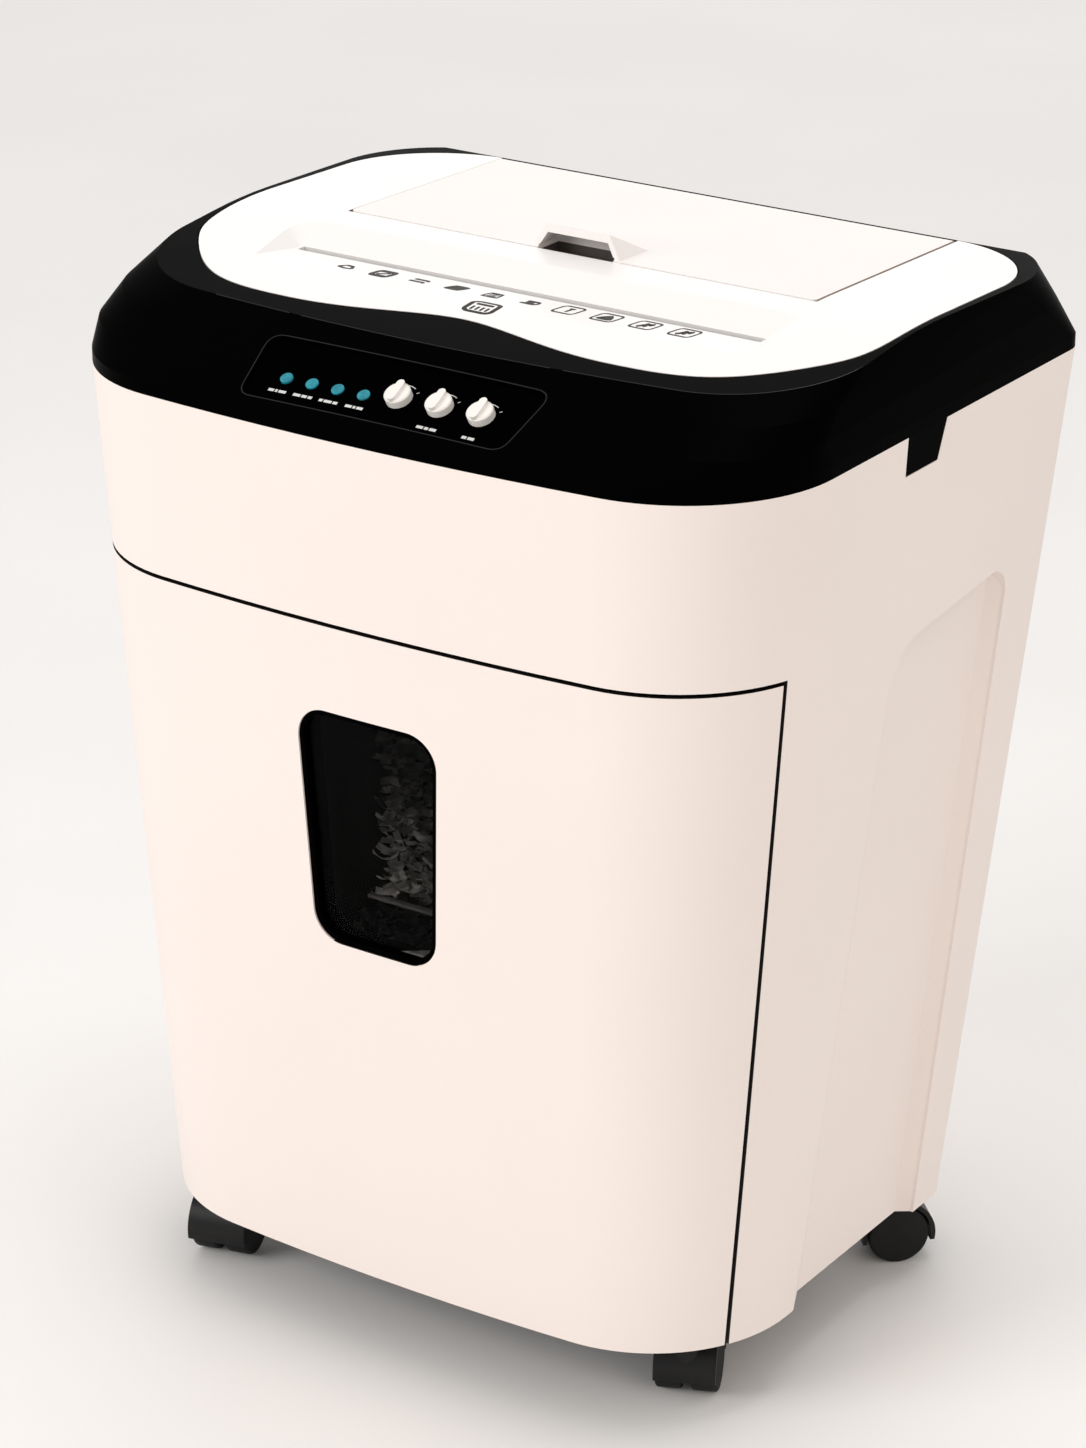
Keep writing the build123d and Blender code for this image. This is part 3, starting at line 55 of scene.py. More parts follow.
class Mat:
    """Small helper round a node material."""

    def __init__(self, name):
        self.mat = bpy.data.materials.new(name)
        self.mat.use_nodes = True
        self.tree = self.mat.node_tree
        self.shader = self.tree.nodes["Principled BSDF"]
        self.coords = self.tree.nodes.new("ShaderNodeTexCoord")

    def node(self, kind, **values):
        made = self.tree.nodes.new(kind)
        for key, value in values.items():
            if key in made.inputs:
                made.inputs[key].default_value = value
            else:
                setattr(made, key, value)
        return made

    def link(self, a, b):
        self.tree.links.new(a, b)

    def noise(self, scale, detail=3.0, rough=0.5, stretch=None):
        tex = self.node("ShaderNodeTexNoise", Scale=scale, Detail=detail, Roughness=rough)
        source = self.coords.outputs["Object"]
        if stretch:
            mapping = self.node("ShaderNodeMapping")
            mapping.inputs["Scale"].default_value = stretch
            self.link(source, mapping.inputs["Vector"])
            source = mapping.outputs["Vector"]
        self.link(source, tex.inputs["Vector"])
        return tex.outputs["Fac"]

    def ramp(self, fac, stops):
        made = self.node("ShaderNodeValToRGB")
        elements = made.color_ramp.elements
        while len(elements) < len(stops):
            elements.new(0.5)
        for element, (place, colour) in zip(elements, stops):
            element.position = place
            element.color = colour
        self.link(fac, made.inputs["Fac"])
        return made.outputs["Color"]

    def range(self, fac, low, high, out_low, out_high):
        made = self.node("ShaderNodeMapRange")
        for key, value in (("From Min", low), ("From Max", high), ("To Min", out_low), ("To Max", out_high)):
            made.inputs[key].default_value = value
        self.link(fac, made.inputs["Value"])
        return made.outputs["Result"]

    def bump(self, fac, strength, distance=0.0002):
        made = self.node("ShaderNodeBump")
        made.inputs["Strength"].default_value = strength
        made.inputs["Distance"].default_value = distance
        self.link(fac, made.inputs["Height"])
        return made.outputs["Normal"]

    def mix(self, fac, first, second):
        """Colour mix from a socket to a constant colour."""
        made = self.tree.nodes.new("ShaderNodeMix")
        made.data_type = "RGBA"
        self.link(fac, made.inputs[0])
        self.link(first, made.inputs[6])
        made.inputs[7].default_value = second
        return made.outputs[2]

    def above(self, value, limit):
        """One where value passes limit, else nought."""
        made = self.tree.nodes.new("ShaderNodeMath")
        made.operation = "GREATER_THAN"
        self.link(value, made.inputs[0])
        made.inputs[1].default_value = limit
        return made.outputs[0]

    def combine(self, operation, first, second):
        made = self.tree.nodes.new("ShaderNodeMath")
        made.operation = operation
        self.link(first, made.inputs[0])
        if isinstance(second, float):
            made.inputs[1].default_value = second
        else:
            self.link(second, made.inputs[1])
        return made.outputs[0]

    def axes(self, kind):
        """X, Y and Z of the object's own place ("Object") or facing ("Normal")."""
        split = self.tree.nodes.new("ShaderNodeSeparateXYZ")
        self.link(self.coords.outputs[kind], split.inputs[0])
        return split.outputs


def shade(colour, factor):
    return tuple(min(1.0, c * factor) for c in colour[:3]) + (1.0,)


def plastic(name, colour, rough, spread=0.04, grain=900.0, depth=0.1, variation=0.03, specular=0.5,
            dark=None, painted_shade_colour=(0.016, 0.014, 0.013, 1.0)):
    """Moulded plastic: fine grain, faint flow variation in colour, patches of sheen.

    The optional mask picks the faces that stay in the shade of a seam, and these get painted shade in the
    dark colour.
    """
    m = Mat(name)
    flow = m.noise(7.0, 4.0, 0.55)
    tint = m.ramp(flow, [(0.3, shade(colour, 1 - variation)), (0.7, shade(colour, 1 + variation))])
    # painted shade: masked seam faces are mixed to a near-black colour
    if dark is not None:
        tint = m.mix(dark(m), tint, painted_shade_colour)
    m.link(tint, m.shader.inputs["Base Color"])
    patches = m.noise(26.0, 5.0, 0.6)
    m.link(m.range(patches, 0.3, 0.7, rough - spread, rough + spread), m.shader.inputs["Roughness"])
    fine = m.noise(grain, 2.0, 0.6)
    m.link(m.bump(fine, depth, 0.0001), m.shader.inputs["Normal"])
    m.shader.inputs["Specular IOR Level"].default_value = specular
    return m.mat


def metal(name, colour, rough, stretch=(1, 1, 1), depth=0.15):
    """Ground or plated metal: directional scratches in roughness and bump."""
    m = Mat(name)
    m.shader.inputs["Metallic"].default_value = 1.0
    lines = m.noise(160.0, 4.0, 0.6, stretch)
    cloud = m.noise(40.0, 3.0, 0.5)
    m.link(
        m.ramp(cloud, [(0.3, shade(colour, 0.86)), (0.75, shade(colour, 1.08))]),
        m.shader.inputs["Base Color"],
    )
    m.link(m.range(lines, 0.3, 0.7, rough - 0.08, rough + 0.1), m.shader.inputs["Roughness"])
    m.link(m.bump(lines, depth, 0.0001), m.shader.inputs["Normal"])
    return m.mat


door_side_y, door_level = -0.0863, 0.3428  # seams between the cabinet and the bin's front
lid_half_width = 0.1165


def cabinet_seam_shade(m):
    """Cut edges of the cabinet that face the bin's front, painted near black as the shadow in the seam."""
    _, y, z = m.axes("Object")
    _, ny, nz = m.axes("Normal")
    under = m.combine(
        "MULTIPLY", m.above(z, door_level - 0.02), m.above(m.combine("MULTIPLY", nz, -1.0), 0.95)
    )
    near = m.above(m.combine("MULTIPLY", y, -1.0), -door_side_y - 0.001)
    facing = m.combine("MULTIPLY", near, m.above(m.combine("MULTIPLY", ny, -1.0), 0.97))
    below = m.combine("MULTIPLY", facing, m.above(m.combine("MULTIPLY", z, -1.0), -door_level))
    return m.combine("MAXIMUM", under, below)


def bin_seam_shade(m):
    """Top and side edges of the bin's front, painted near black as the shadow in the seam."""
    _, y, _ = m.axes("Object")
    _, ny, nz = m.axes("Normal")
    facing = m.combine("MULTIPLY", m.above(y, door_side_y - 0.0025), m.above(ny, 0.9))
    return m.combine("MAXIMUM", m.above(nz, 0.95), facing)


def lid_gap_shade_faces(m):
    """Upright faces on both sides of the narrow gaps beside the lid, which get painted shade."""
    x, _, _ = m.axes("Object")
    nx, _, _ = m.axes("Normal")
    near = m.above(m.combine("ABSOLUTE", x, 0.0), lid_half_width - 0.0005)
    beyond = m.combine("SUBTRACT", near, m.above(m.combine("ABSOLUTE", x, 0.0), lid_half_width + 0.0015))
    return m.combine("MULTIPLY", beyond, m.above(m.combine("ABSOLUTE", nx, 0.0), 0.95))


WARM = linear(248, 237, 231)
# painted shade on the walls of the narrow gaps beside the lid: brownish in the cover, paler on the lid
GAP_SHADE = linear(150, 118, 100)
LID_EDGE_SHADE = linear(205, 190, 180)
# painted shade: the seam faces of the cabinet and of the bin's front are coloured near black for the shadow
# in the gaps
shell_white = plastic("shell_white", WARM, 0.42, 0.05, 1400.0, 0.05, 0.012, 0.4, cabinet_seam_shade)
bin_white = plastic("bin_white", WARM, 0.42, 0.05, 1400.0, 0.05, 0.012, 0.4, bin_seam_shade)
cover_white = plastic(
    "cover_white", linear(249, 246, 244), 0.36, 0.05, 1400.0, 0.05, 0.008, 0.5, lid_gap_shade_faces, GAP_SHADE
)
lid_white = plastic(
    "lid_white", linear(248, 243, 240), 0.5, 0.04, 700.0, 0.35, 0.01, 0.5, lid_gap_shade_faces, LID_EDGE_SHADE
)
rim_black = plastic("rim_black", linear(2, 2, 2), 0.34, 0.03, 1500.0, 0.03, 0.25, 0.004)
panel_black = plastic("panel_black", linear(1, 1, 1), 0.4, 0.03, 1500.0, 0.02, 0.2, 0.002)
black_satin = plastic("black_satin", linear(14, 14, 15), 0.4, 0.06, 900.0, 0.15, 0.2, 0.3)
bin_black = plastic("bin_black", linear(8, 8, 9), 0.55, 0.06, 500.0, 0.25, 0.25, 0.2)
grip_grey = plastic("grip_grey", linear(84, 78, 74), 0.55, 0.05, 320.0, 0.8, 0.12)
grey_plastic = plastic("grey_plastic", linear(120, 120, 122), 0.5, 0.05, 600.0, 0.2, 0.08)
knob_white = plastic("knob_white", linear(246, 243, 238), 0.28, 0.04, 1500.0, 0.03, 0.01)
acetal = plastic("acetal", linear(226, 222, 208), 0.38, 0.04, 900.0, 0.1, 0.03)
rubber = plastic("rubber", linear(18, 18, 19), 0.7, 0.06, 420.0, 0.5, 0.25, 0.3)
steel = metal("steel", linear(190, 190, 194), 0.3, (0.05, 1, 1))
zinc = metal("zinc", linear(196, 196, 188), 0.42, (1, 1, 1), 0.3)
dark_steel = metal("dark_steel", linear(78, 78, 82), 0.42, (1, 1, 1), 0.3)
bronze = metal("bronze", linear(176, 134, 84), 0.45, (1, 1, 1), 0.35)

# teal lamp lenses: a little light of their own
lamp = Mat("lamp_teal")
swirl = lamp.noise(420.0, 3.0, 0.6)
lamp.link(
    lamp.ramp(swirl, [(0.3, linear(18, 108, 122)), (0.7, linear(34, 140, 156))]),
    lamp.shader.inputs["Base Color"],
)
lamp.link(
    lamp.ramp(swirl, [(0.3, linear(12, 92, 106)), (0.7, linear(26, 128, 144))]),
    lamp.shader.inputs["Emission Color"],
)
lamp.shader.inputs["Emission Strength"].default_value = 0.35
lamp.shader.inputs["Roughness"].default_value = 0.25
lamp_teal = lamp.mat

# smoked window
smoke = Mat("smoked_pane")
haze = smoke.noise(60.0, 4.0, 0.6)
smoke.link(
    smoke.ramp(haze, [(0.3, linear(2, 2, 2)), (0.8, linear(6, 6, 6))]),
    smoke.shader.inputs["Base Color"],
)
smoke.link(smoke.range(haze, 0.3, 0.7, 0.05, 0.12), smoke.shader.inputs["Roughness"])
smoke.shader.inputs["Specular IOR Level"].default_value = 0.06
smoke.shader.inputs["Alpha"].default_value = 0.34
smoked_pane = smoke.mat

# shredded paper: printed greys, with painted shade darkening them towards the top of the heap
paper = Mat("shred_grey")
print_grey = paper.ramp(
    paper.noise(160.0, 3.0, 0.6),
    [(0.3, linear(120, 117, 113)), (0.5, linear(188, 184, 178)), (0.7, linear(222, 218, 212))],
)
height = paper.axes("Object")[2]
top_shade = paper.range(height, 0.224, 0.27, 0.0, 0.95)
paper.link(paper.mix(top_shade, print_grey, linear(30, 29, 28)), paper.shader.inputs["Base Color"])
paper.link(paper.range(paper.noise(300.0), 0.3, 0.7, 0.65, 0.85), paper.shader.inputs["Roughness"])
shred_grey = paper.mat

# printed circuit board: solder mask over faint traces
board = Mat("circuit_board")
traces = board.node("ShaderNodeTexWave", Scale=220.0, Distortion=3.0)
board.link(board.coords.outputs["Object"], traces.inputs["Vector"])
board.link(
    board.ramp(traces.outputs["Fac"], [(0.45, linear(18, 74, 42)), (0.6, linear(40, 112, 66))]),
    board.shader.inputs["Base Color"],
)
board.shader.inputs["Roughness"].default_value = 0.35
circuit_board = board.mat

finish_of = {
    "cabinet_shell": shell_white, "bin_front": bin_white, "top_cover": cover_white,
    "lid": lid_white, "lid_grip": grip_grey, "head_rim": rim_black,
    "control_panel": panel_black, "window_pane": smoked_pane, "window_bezel": rim_black,
    "bin_tub": bin_black, "led_lenses": lamp_teal, "control_board": circuit_board,
    "knob_1": knob_white, "knob_2": knob_white, "knob_3": knob_white,
    "cutter_front": steel, "cutter_rear": steel, "tie_rods": steel, "gear_pins": steel,
    "feed_shaft": steel, "motor_shaft": steel, "lid_hinge_pins": steel,
    "frame_plate_left": zinc, "frame_plate_right": zinc, "caster_sockets": zinc,
    "chassis_screws": zinc, "bin_screws": zinc, "board_screws": zinc,
    "cutter_bushes": bronze, "motor": dark_steel, "final_gear": dark_steel,
    "sync_gear_front": dark_steel, "sync_gear_rear": dark_steel, "bin_magnet": dark_steel,
    "intermediate_gear": acetal, "idler_gear": acetal, "feed_gear": acetal,
    "gear_case": grey_plastic, "paper_sensor": grey_plastic, "interlock_sensor": grey_plastic,
    "feed_rollers": rubber, "switch_rocker": panel_black,
}
for name, node in nodes.items():
    finish = finish_of.get(name)
    if finish is None:
        finish = rubber if name.startswith("caster_wheels") else black_satin
    node.data.materials.clear()
    node.data.materials.append(finish)


# ---------------------------------------------------------------- building helpers
def piece(name, bm, material, body, smooth=False):
    mesh = bpy.data.meshes.new(name)
    bm.to_mesh(mesh)
    bm.free()
    made = bpy.data.objects.new(name, mesh)
    scene.collection.objects.link(made)
    mesh.materials.append(material)
    if smooth:
        for polygon in mesh.polygons:
            polygon.use_smooth = True
    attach(made, body)
    return made


def tree_of(name):
    mesh = nodes[name].data
    return BVHTree.FromPolygons(
        [v.co.copy() for v in mesh.vertices], [list(p.vertices) for p in mesh.polygons]
    )


def strip(bm, points, width, closed=False):
    """Flat ribbon along 2-D points, in the XY plane."""
    count = len(points)
    rows = []
    for i, (x, y) in enumerate(points):
        if closed:
            ax, ay = points[i - 1]
            bx, by = points[(i + 1) % count]
        else:
            ax, ay = points[max(i - 1, 0)]
            bx, by = points[min(i + 1, count - 1)]
        dx, dy = bx - ax, by - ay
        length = math.hypot(dx, dy) or 1.0
        nx, ny = -dy / length * width / 2, dx / length * width / 2
        rows.append((bm.verts.new((x + nx, y + ny, 0)), bm.verts.new((x - nx, y - ny, 0))))
    pairs = range(count if closed else count - 1)
    for i in pairs:
        a, b = rows[i]
        c, d = rows[(i + 1) % count]
        bm.faces.new((a, b, d, c))


def dense(points, step=0.6, closed=False):
    """More points along a 2-D path, so that a mark can follow a curved surface."""
    out = []
    ends = points + [points[0]] if closed else points
    for (ax, ay), (bx, by) in zip(ends, ends[1:]):
        parts = max(1, int(math.hypot(bx - ax, by - ay) / step))
        for k in range(parts):
            t = k / parts
            out.append((ax + (bx - ax) * t, ay + (by - ay) * t))
    if not closed:
        out.append(points[-1])
    return out


def ring(cx, cy, radius, start=0.0, end=360.0, count=28):
    full = abs(end - start) >= 360
    steps = count if full else count + 1
    return [
        (cx + radius * math.cos(math.radians(start + (end - start) * i / count)),
         cy + radius * math.sin(math.radians(start + (end - start) * i / count)))
        for i in range(steps)
    ]


def round_box(cx, cy, w, h, r, count=5):
    out = []
    for sx, sy, a in ((1, 1, 0), (-1, 1, 90), (-1, -1, 180), (1, -1, 270)):
        for k in range(count + 1):
            angle = math.radians(a + 90 * k / count)
            out.append((
                cx + sx * (w / 2 - r) + r * math.cos(angle),
                cy + sy * (h / 2 - r) + r * math.sin(angle),
            ))
    return out


def fill(bm, points):
    bm.faces.new([bm.verts.new((x, y, 0)) for x, y in points])


def lay_down(bm, trees, lift):
    """Drop millimetre marks straight down on to the surfaces below."""
    for v in bm.verts:
        best = None
        for tree in trees:
            hit = tree.ray_cast(Vector((v.co.x / 1000, v.co.y / 1000, 0.6)), Vector((0, 0, -1)))[0]
            if hit is not None and (best is None or hit.z > best):
                best = hit.z
        v.co = Vector((v.co.x / 1000, v.co.y / 1000, (best or 0.46) + lift / 1000))


# ---------------------------------------------------------------- marks on the cover
ink = plastic("ink_dark", linear(20, 19, 19), 0.5, 0.04, 900.0, 0.1, 0.15, 0.2)
ink_white = plastic("ink_white", linear(214, 214, 212), 0.5, 0.04, 900.0, 0.1, 0.05)
cover_tree = tree_of("top_cover")


def icon_swoosh(bm):
    strip(bm, dense([(-2.6, -0.6), (-1.0, 0.9), (1.2, 0.7), (2.5, -0.9)]), 0.9)
    strip(bm, dense([(-2.6, -0.6), (0.2, -1.1), (2.5, -0.9)]), 0.75)


def icon_disc(bm):
    strip(bm, dense(round_box(0, 0, 5.6, 3.4, 0.9), closed=True), 1.5, True)
    strip(bm, dense([(-1.6, -0.8), (0.4, 0.2), (1.6, 0.8)]), 0.9)


def icon_cards(bm):
    strip(bm, dense([(-2.5, 0.8), (2.2, 0.8), (2.7, 0.2)]), 0.9)
    strip(bm, dense([(-2.8, -0.7), (2.0, -0.7), (2.5, -1.2)]), 0.9)


def icon_card(bm):
    strip(bm, dense([(-2.6, -0.9), (-1.4, 1.1), (2.8, 1.1), (1.6, -0.9)], closed=True), 1.4, True)
    strip(bm, dense([(-1.6, 0.1), (1.8, 0.1)]), 1.2)


def icon_sheet(bm):
    strip(bm, dense([(-2.6, -1.3), (-2.0, 1.3), (1.9, 1.3), (2.6, -1.3)], closed=True), 0.75, True)
    for k in range(3):
        strip(bm, dense([(-1.4, -0.7 + k * 0.7), (1.4, -0.7 + k * 0.7)]), 0.42)


def icon_clip(bm):
    strip(
        bm,
        dense([(-2.6, -0.9), (1.6, -0.9)]) + ring(1.6, 0, 0.9, -90, 90, 8) + dense([(1.6, 0.9), (-1.8, 0.9)]),
        0.9,
    )
    strip(bm, dense([(-1.6, 0), (1.2, 0)]), 1)


def icon_framed(bm, kind):
    strip(bm, dense(round_box(0, 0, 7.0, 5.0, 1.2), closed=True), 0.68, True)
    if kind == 0:
        strip(bm, dense([(0.3, -1.4), (0.3, 1.3)]), 0.9)
        strip(bm, dense([(-0.6, 1.0), (1.2, 1.0)]), 0.75)
    elif kind == 1:
        strip(bm, dense([(-1.9, -1.0), (0.2, 1.1), (1.9, -1.0)], closed=True), 1.5, True)
    else:
        strip(bm, dense([(-1.6, -1.5), (0.2, 0.2), (1.8, 1.4)]), 1.4)
        strip(bm, dense([(-0.4 - kind * 0.2, 1.2), (1.9, 0.4 - kind * 0.1)]), 1)
        strip(bm, dense([(-1.2, 0.2), (0.9, -1.0)]), 0.9)


icons_bm = bmesh.new()
first_x, step_x, first_y, step_y = -80.5, 18.35, -37.6, 0.3
icon_wide, icon_tall = 1.45, 2.4
drawers = [icon_swoosh, icon_disc, icon_cards, icon_card, icon_sheet, icon_clip]
for i in range(10):
    drawn = len(icons_bm.verts)
    if i < len(drawers):
        drawers[i](icons_bm)
    else:
        icon_framed(icons_bm, i - len(drawers))
    for v in list(icons_bm.verts)[drawn:]:
        v.co = Vector((
            first_x + step_x * i + v.co.x * icon_wide, first_y + step_y * i + v.co.y * icon_tall, 0,
        ))
lay_down(icons_bm, [cover_tree], 0.06)
piece("cover_pictograms", icons_bm, ink, "cabinet")

emblem = bmesh.new()
strip(emblem, dense(round_box(0, -54.5, 13.0, 11.0, 2.8), closed=True), 2.1, True)
for k in range(4):
    strip(emblem, dense([(-3.6 + 2.4 * k, -58.2), (-3.6 + 2.4 * k, -54.6)]), 1.2)
strip(emblem, dense([(-4.2, -52.2), (4.2, -52.2)]), 1.7)
lay_down(emblem, [cover_tree], 0.06)
piece("cover_emblem", emblem, ink, "cabinet")


# ---------------------------------------------------------------- marks on the control panel
fascia_foot_y, fascia_foot_z = -141.9, 427.5
crease_y, crease_z = -95.8, 452.9
slope = math.atan2(crease_z - fascia_foot_z, crease_y - fascia_foot_y)
up_slope = Vector((0, math.cos(slope), math.sin(slope)))
outward = Vector((0, -math.sin(slope), math.cos(slope)))
fascia_foot = Vector((0, fascia_foot_y, fascia_foot_z)) / 1000
panel_tree = tree_of("control_panel")


stand_off, panel_sink = 0.02, 0.0015  # where the rays start, and a depth for any that miss


def lay_on_fascia(bm, tree, lift):
    """Press millimetre marks, given across and up the slope, on to the sloping front."""
    for v in bm.verts:
        start = fascia_foot + Vector((v.co.x / 1000, 0, 0)) + up_slope * (v.co.y / 1000) + outward * stand_off
        hit = tree.ray_cast(start, -outward)[0]
        place = hit if hit is not None else start - outward * (stand_off + panel_sink)
        v.co = place + outward * lift / 1000


labels = bmesh.new()
led_xs = [-47.7 + 12.75 * i for i in range(4)]
knob_xs = [6.8 + 19.8 * i for i in range(3)]
knob_rise, lamp_caption_rise, knob_caption_rise = 23.0, 14.0, 11.6


def caption(x, rise, pattern):
    """A row of short dashes where a caption would stand."""
    gap = 0.6
    total = sum(pattern) + gap * (len(pattern) - 1)
    at = x - total / 2
    for length in pattern:
        strip(labels, dense([(at, rise), (at + length, rise)], 0.5), 1.4)
        at += length + gap


lamp_patterns = ((2.8, 1.2, 3.6), (3.6, 2.6, 2.0), (1.8, 3.8, 2.2), (3.2, 1.2, 3.0))
for x, pattern in zip(led_xs, lamp_patterns):
    caption(x - 0.5, lamp_caption_rise, pattern)
caption(knob_xs[1], knob_caption_rise, (3.2, 1.8, 3.2))
caption(knob_xs[2], knob_caption_rise, (2.2, 3.0))
for x in knob_xs:
    strip(labels, ring(x, knob_rise, 7.6, 62, 100, 8), 0.4)
    for angle in (40, 118):
        c, s = math.cos(math.radians(angle)), math.sin(math.radians(angle))
        strip(labels, [(x + 7.0 * c, knob_rise + 7.0 * s), (x + 8.2 * c, knob_rise + 8.2 * s)], 0.4)
lay_on_fascia(labels, panel_tree, 0.05)
piece("panel_marks", labels, ink_white, "cabinet")

rim_tree = tree_of("head_rim")
# painted highlight: a lighter grey for thin lines of light caught on edges of the black rim and panel recess
rim_highlight = plastic("rim_highlight", linear(34, 34, 36), 0.4, 0.05, 900.0, 0.1, 0.12, 0.1)


def rounded(corners, radius, count=6):
    """Closed outline through corners, each rounded off."""
    out = []
    for i, corner in enumerate(corners):
        here = Vector(corner)
        before = (Vector(corners[i - 1]) - here).normalized()
        after = (Vector(corners[(i + 1) % len(corners)]) - here).normalized()
        cut = radius / math.tan(before.angle(after) / 2)
        for k in range(count + 1):
            t = k / count
            out.append(tuple(here + before * cut * (1 - t) ** 2 + after * cut * t ** 2))
    return out


# painted highlight: a bright line along the edge of the recess round the panel
edge = bmesh.new()
low, high, half_low, half_high, out_by = 8.4, 41.6, 63.5, 68.5, 0.45
corners = [
    (-half_low - out_by, low - out_by), (half_low + out_by, low - out_by),
    (half_high + out_by, high + out_by), (-half_high - out_by, high + out_by),
]
strip(edge, dense(rounded(corners, 6.9), closed=True), 0.5, True)
lay_on_fascia(edge, rim_tree, 0.05)
piece("panel_edge_highlight", edge, rim_highlight, "cabinet")


def crease_path(start, end):
    """Top edge of the fascia in plan: the bowed front, then round the right corner."""
    bow, corner, half_width, front = 1290.0, 57.0, 169.1, crease_y
    centre_x = half_width - corner
    centre_y = front + bow - math.sqrt((bow - corner) ** 2 - centre_x ** 2)
    join = math.atan2(centre_y - front - bow, centre_x)
    path = []
    x = start
    while x < min(end, centre_x + corner * math.cos(join)):
        path.append((x, front + bow - math.sqrt(bow ** 2 - x * x)))
        x += 2.0
    if end > centre_x:
        for k in range(25):
            angle = join * (1 - k / 24)
            path.append((centre_x + corner * math.cos(angle), centre_y + corner * math.sin(angle)))
    return path


# painted highlight along the crease at the top of the fascia, with breaks at the notches
crease = bmesh.new()
for start, end in ((-108, -66), (-62, 62), (66, 170)):
    strip(crease, dense(crease_path(start, end)), 0.45)
lay_down(crease, [rim_tree], 0.05)
piece("rim_crease_highlight", crease, rim_highlight, "cabinet")


# ---------------------------------------------------------------- shredded paper in the bin
shreds = bmesh.new()


def curl(bm, centre, turn, width, radius, sweep, twist):
    """One curled paper strip."""
    steps = 9
    rows = []
    for i in range(steps):
        t = i / (steps - 1)
        a = sweep * (t - 0.5)
        p = Vector((radius * math.sin(a), width / 2, radius * (1 - math.cos(a))))
        q = Vector((radius * math.sin(a), -width / 2, radius * (1 - math.cos(a))))
        sway = Matrix.Rotation(twist * (t - 0.5), 3, "X")
        rows.append((bm.verts.new(centre + turn @ (sway @ p)), bm.verts.new(centre + turn @ (sway @ q))))
    for (a, b), (c, d) in zip(rows, rows[1:]):
        bm.faces.new((a, b, d, c))


def strew(count, x_range, y_range, z_of, width, radii):
    for _ in range(count):
        x, y = rng.uniform(*x_range), rng.uniform(*y_range)
        z = z_of(x, y)
        if z is None:
            continue
        turn = Matrix.Rotation(rng.uniform(0, math.tau), 3, "Z") @ Matrix.Rotation(rng.gauss(0, 0.7), 3, "X")
        curl(
            shreds, Vector((x, y, z)), turn, width,
            rng.uniform(*radii), rng.uniform(1.0, 2.4), rng.uniform(-1.2, 1.2),
        )


def heap_level(x, y):
    """Just under the heap's top, which is low at the left and high at the right."""
    top = 0.13 + 0.165 / (1 + math.exp(-(x - 0.02) / 0.008))
    return top - abs(rng.gauss(0, 0.02))


def behind_pane(x, y):
    """Strips pressed to the front wall, from a steep edge beside the window's middle to the right."""
    if x + 0.68 * (y + 0.119) < -0.0065:
        return None
    return rng.uniform(0.2165, 0.296)


strew(900, (-0.115, 0.125), (-0.095, 0.06), heap_level, 0.0036, (0.006, 0.014))
strew(900, (-0.02, 0.06), (-0.117, -0.1), behind_pane, 0.003, (0.003, 0.008))
piece("paper_shreds", shreds, shred_grey, "bin", smooth=True)


def bar(bm, low_corner, high_corner):
    """Upright box between two corners."""
    size_of = Vector(high_corner) - Vector(low_corner)
    middle = (Vector(high_corner) + Vector(low_corner)) / 2
    bmesh.ops.create_cube(bm, size=1.0, matrix=Matrix.Translation(middle) @ Matrix.Diagonal((*size_of, 1.0)))


# edge that holds the strips back, and one scrap below it
ledge = bmesh.new()
bar(ledge, (-0.0145, -0.1195, 0.2148), (0.03, -0.117, 0.2162))
piece(
    "window_ledge", ledge,
    plastic("ledge_grey", linear(120, 116, 112), 0.5, 0.05, 500.0, 0.2, 0.12, 0.2), "bin",
)
scrap_level = 0.1998
scrap = bmesh.new()
fill(scrap, [(0.009, -0.1285), (0.0285, -0.1285), (0.0285, -0.1195), (0.021, -0.1195)])
for v in scrap.verts:
    v.co.z = scrap_level
piece("paper_scrap", scrap, shred_grey, "bin")


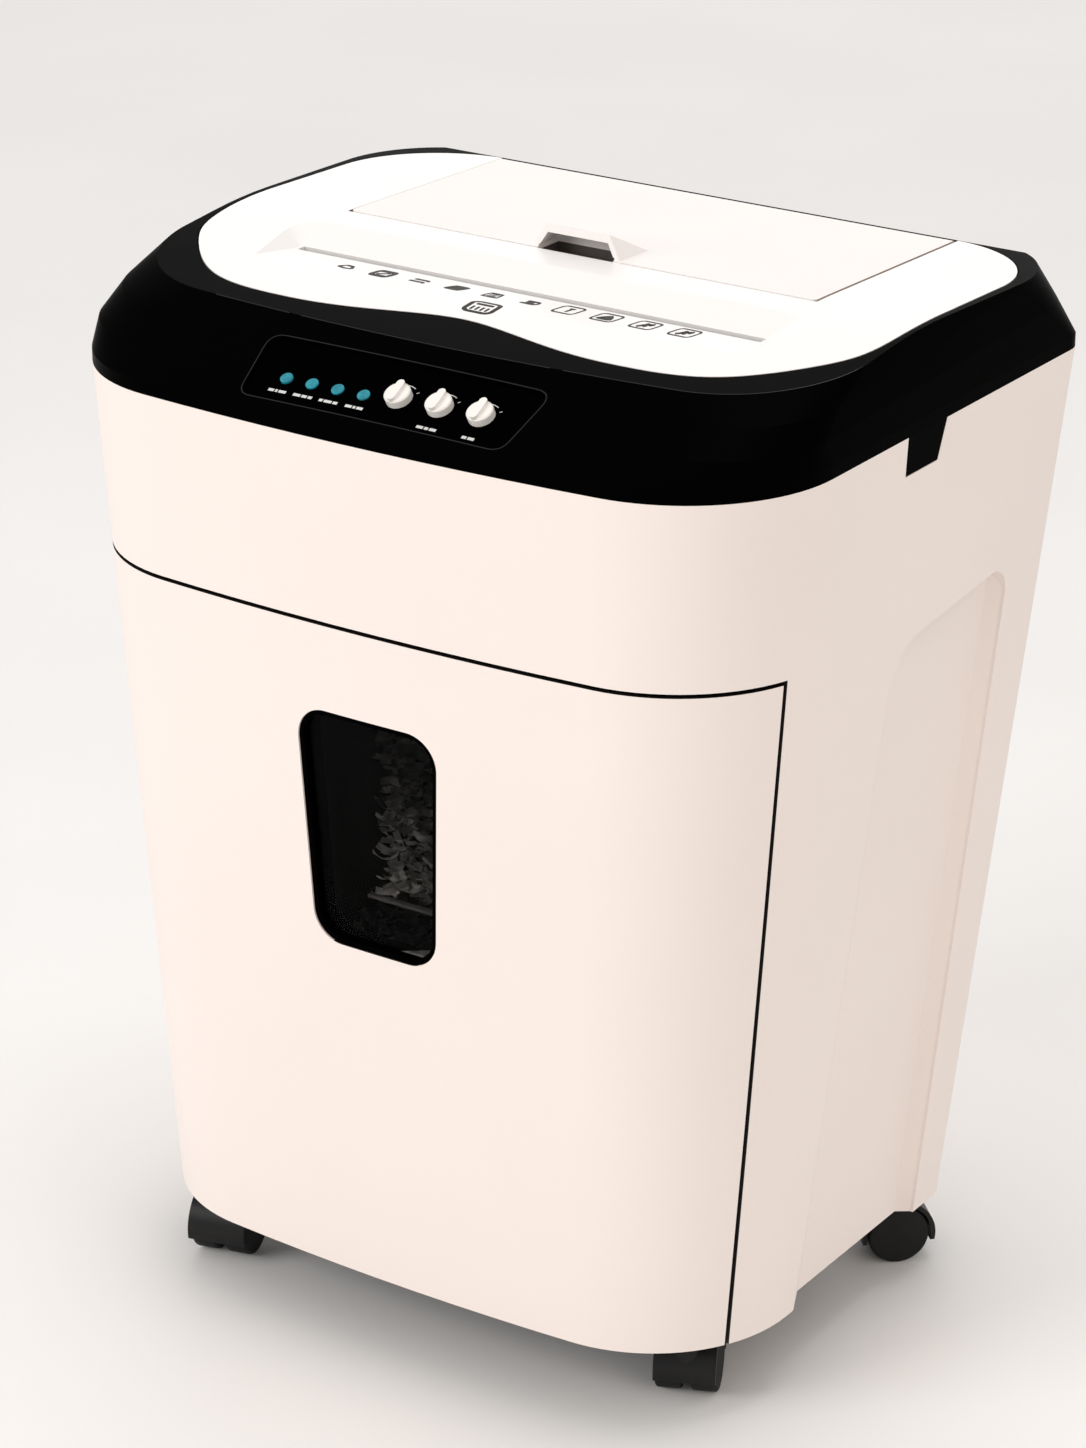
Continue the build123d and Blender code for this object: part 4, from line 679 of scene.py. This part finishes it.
# ---------------------------------------------------------------- floor, light and camera
floor_mesh = bpy.data.meshes.new("floor")
floor_bm = bmesh.new()
size = 6.0
floor_bm.faces.new([
    floor_bm.verts.new((x, y, 0)) for x, y in ((-size, -size), (size, -size), (size, size), (-size, size))
])
floor_bm.to_mesh(floor_mesh)
floor_bm.free()
floor = bpy.data.objects.new("floor", floor_mesh)
scene.collection.objects.link(floor)
ground = Mat("floor_pale")
ground.link(
    ground.ramp(ground.noise(3.0, 3.0), [(0.3, linear(248, 247, 246)), (0.7, linear(252, 251, 250))]),
    ground.shader.inputs["Base Color"],
)
ground.shader.inputs["Roughness"].default_value = 0.9
floor_mesh.materials.append(ground.mat)

world = bpy.data.worlds.new("studio")
scene.world = world
world.use_nodes = True
world.node_tree.nodes["Background"].inputs["Color"].default_value = (1.0, 0.975, 0.955, 1.0)
world.node_tree.nodes["Background"].inputs["Strength"].default_value = 0.6


def area_light(name, place, target, size_m, power, colour=(1, 1, 1)):
    light = bpy.data.lights.new(name, "AREA")
    light.energy = power
    light.size = size_m
    light.color = colour
    lamp_object = bpy.data.objects.new(name, light)
    scene.collection.objects.link(lamp_object)
    lamp_object.location = place
    lamp_object.rotation_euler = (Vector(target) - Vector(place)).to_track_quat("-Z", "Y").to_euler()


area_light("key", (-1.4, -2.6, 1.7), (0, 0, 0.25), 1.6, 37, (1.0, 0.985, 0.97))
area_light("top", (0.1, 0.3, 2.4), (0, 0, 0.4), 1.2, 12)
area_light("fill", (2.4, -0.8, 1.2), (0, 0, 0.25), 1.6, 7, (1.0, 0.86, 0.72))
area_light("backdrop", (-2.6, 4.4, 2.0), (-2.2, 3.6, 0), 3.0, 34)

azimuth, elevation, distance = math.radians(34.182), math.radians(22.845), 1.84857
back = Vector((
    math.sin(azimuth) * math.cos(elevation),
    -math.cos(azimuth) * math.cos(elevation),
    math.sin(elevation),
))
right = Vector((math.cos(azimuth), math.sin(azimuth), 0))
up = back.cross(right)
camera_data = bpy.data.cameras.new("camera")
camera_data.lens = 105.85
camera_data.sensor_width = 36.0
camera = bpy.data.objects.new("camera", camera_data)
scene.collection.objects.link(camera)
target = Vector((-0.007296, 0.0, 0.253159))
place = target + back * distance
camera.matrix_world = Matrix((
    (right.x, up.x, back.x, place.x),
    (right.y, up.y, back.y, place.y),
    (right.z, up.z, back.z, place.z),
    (0, 0, 0, 1),
))
scene.camera = camera
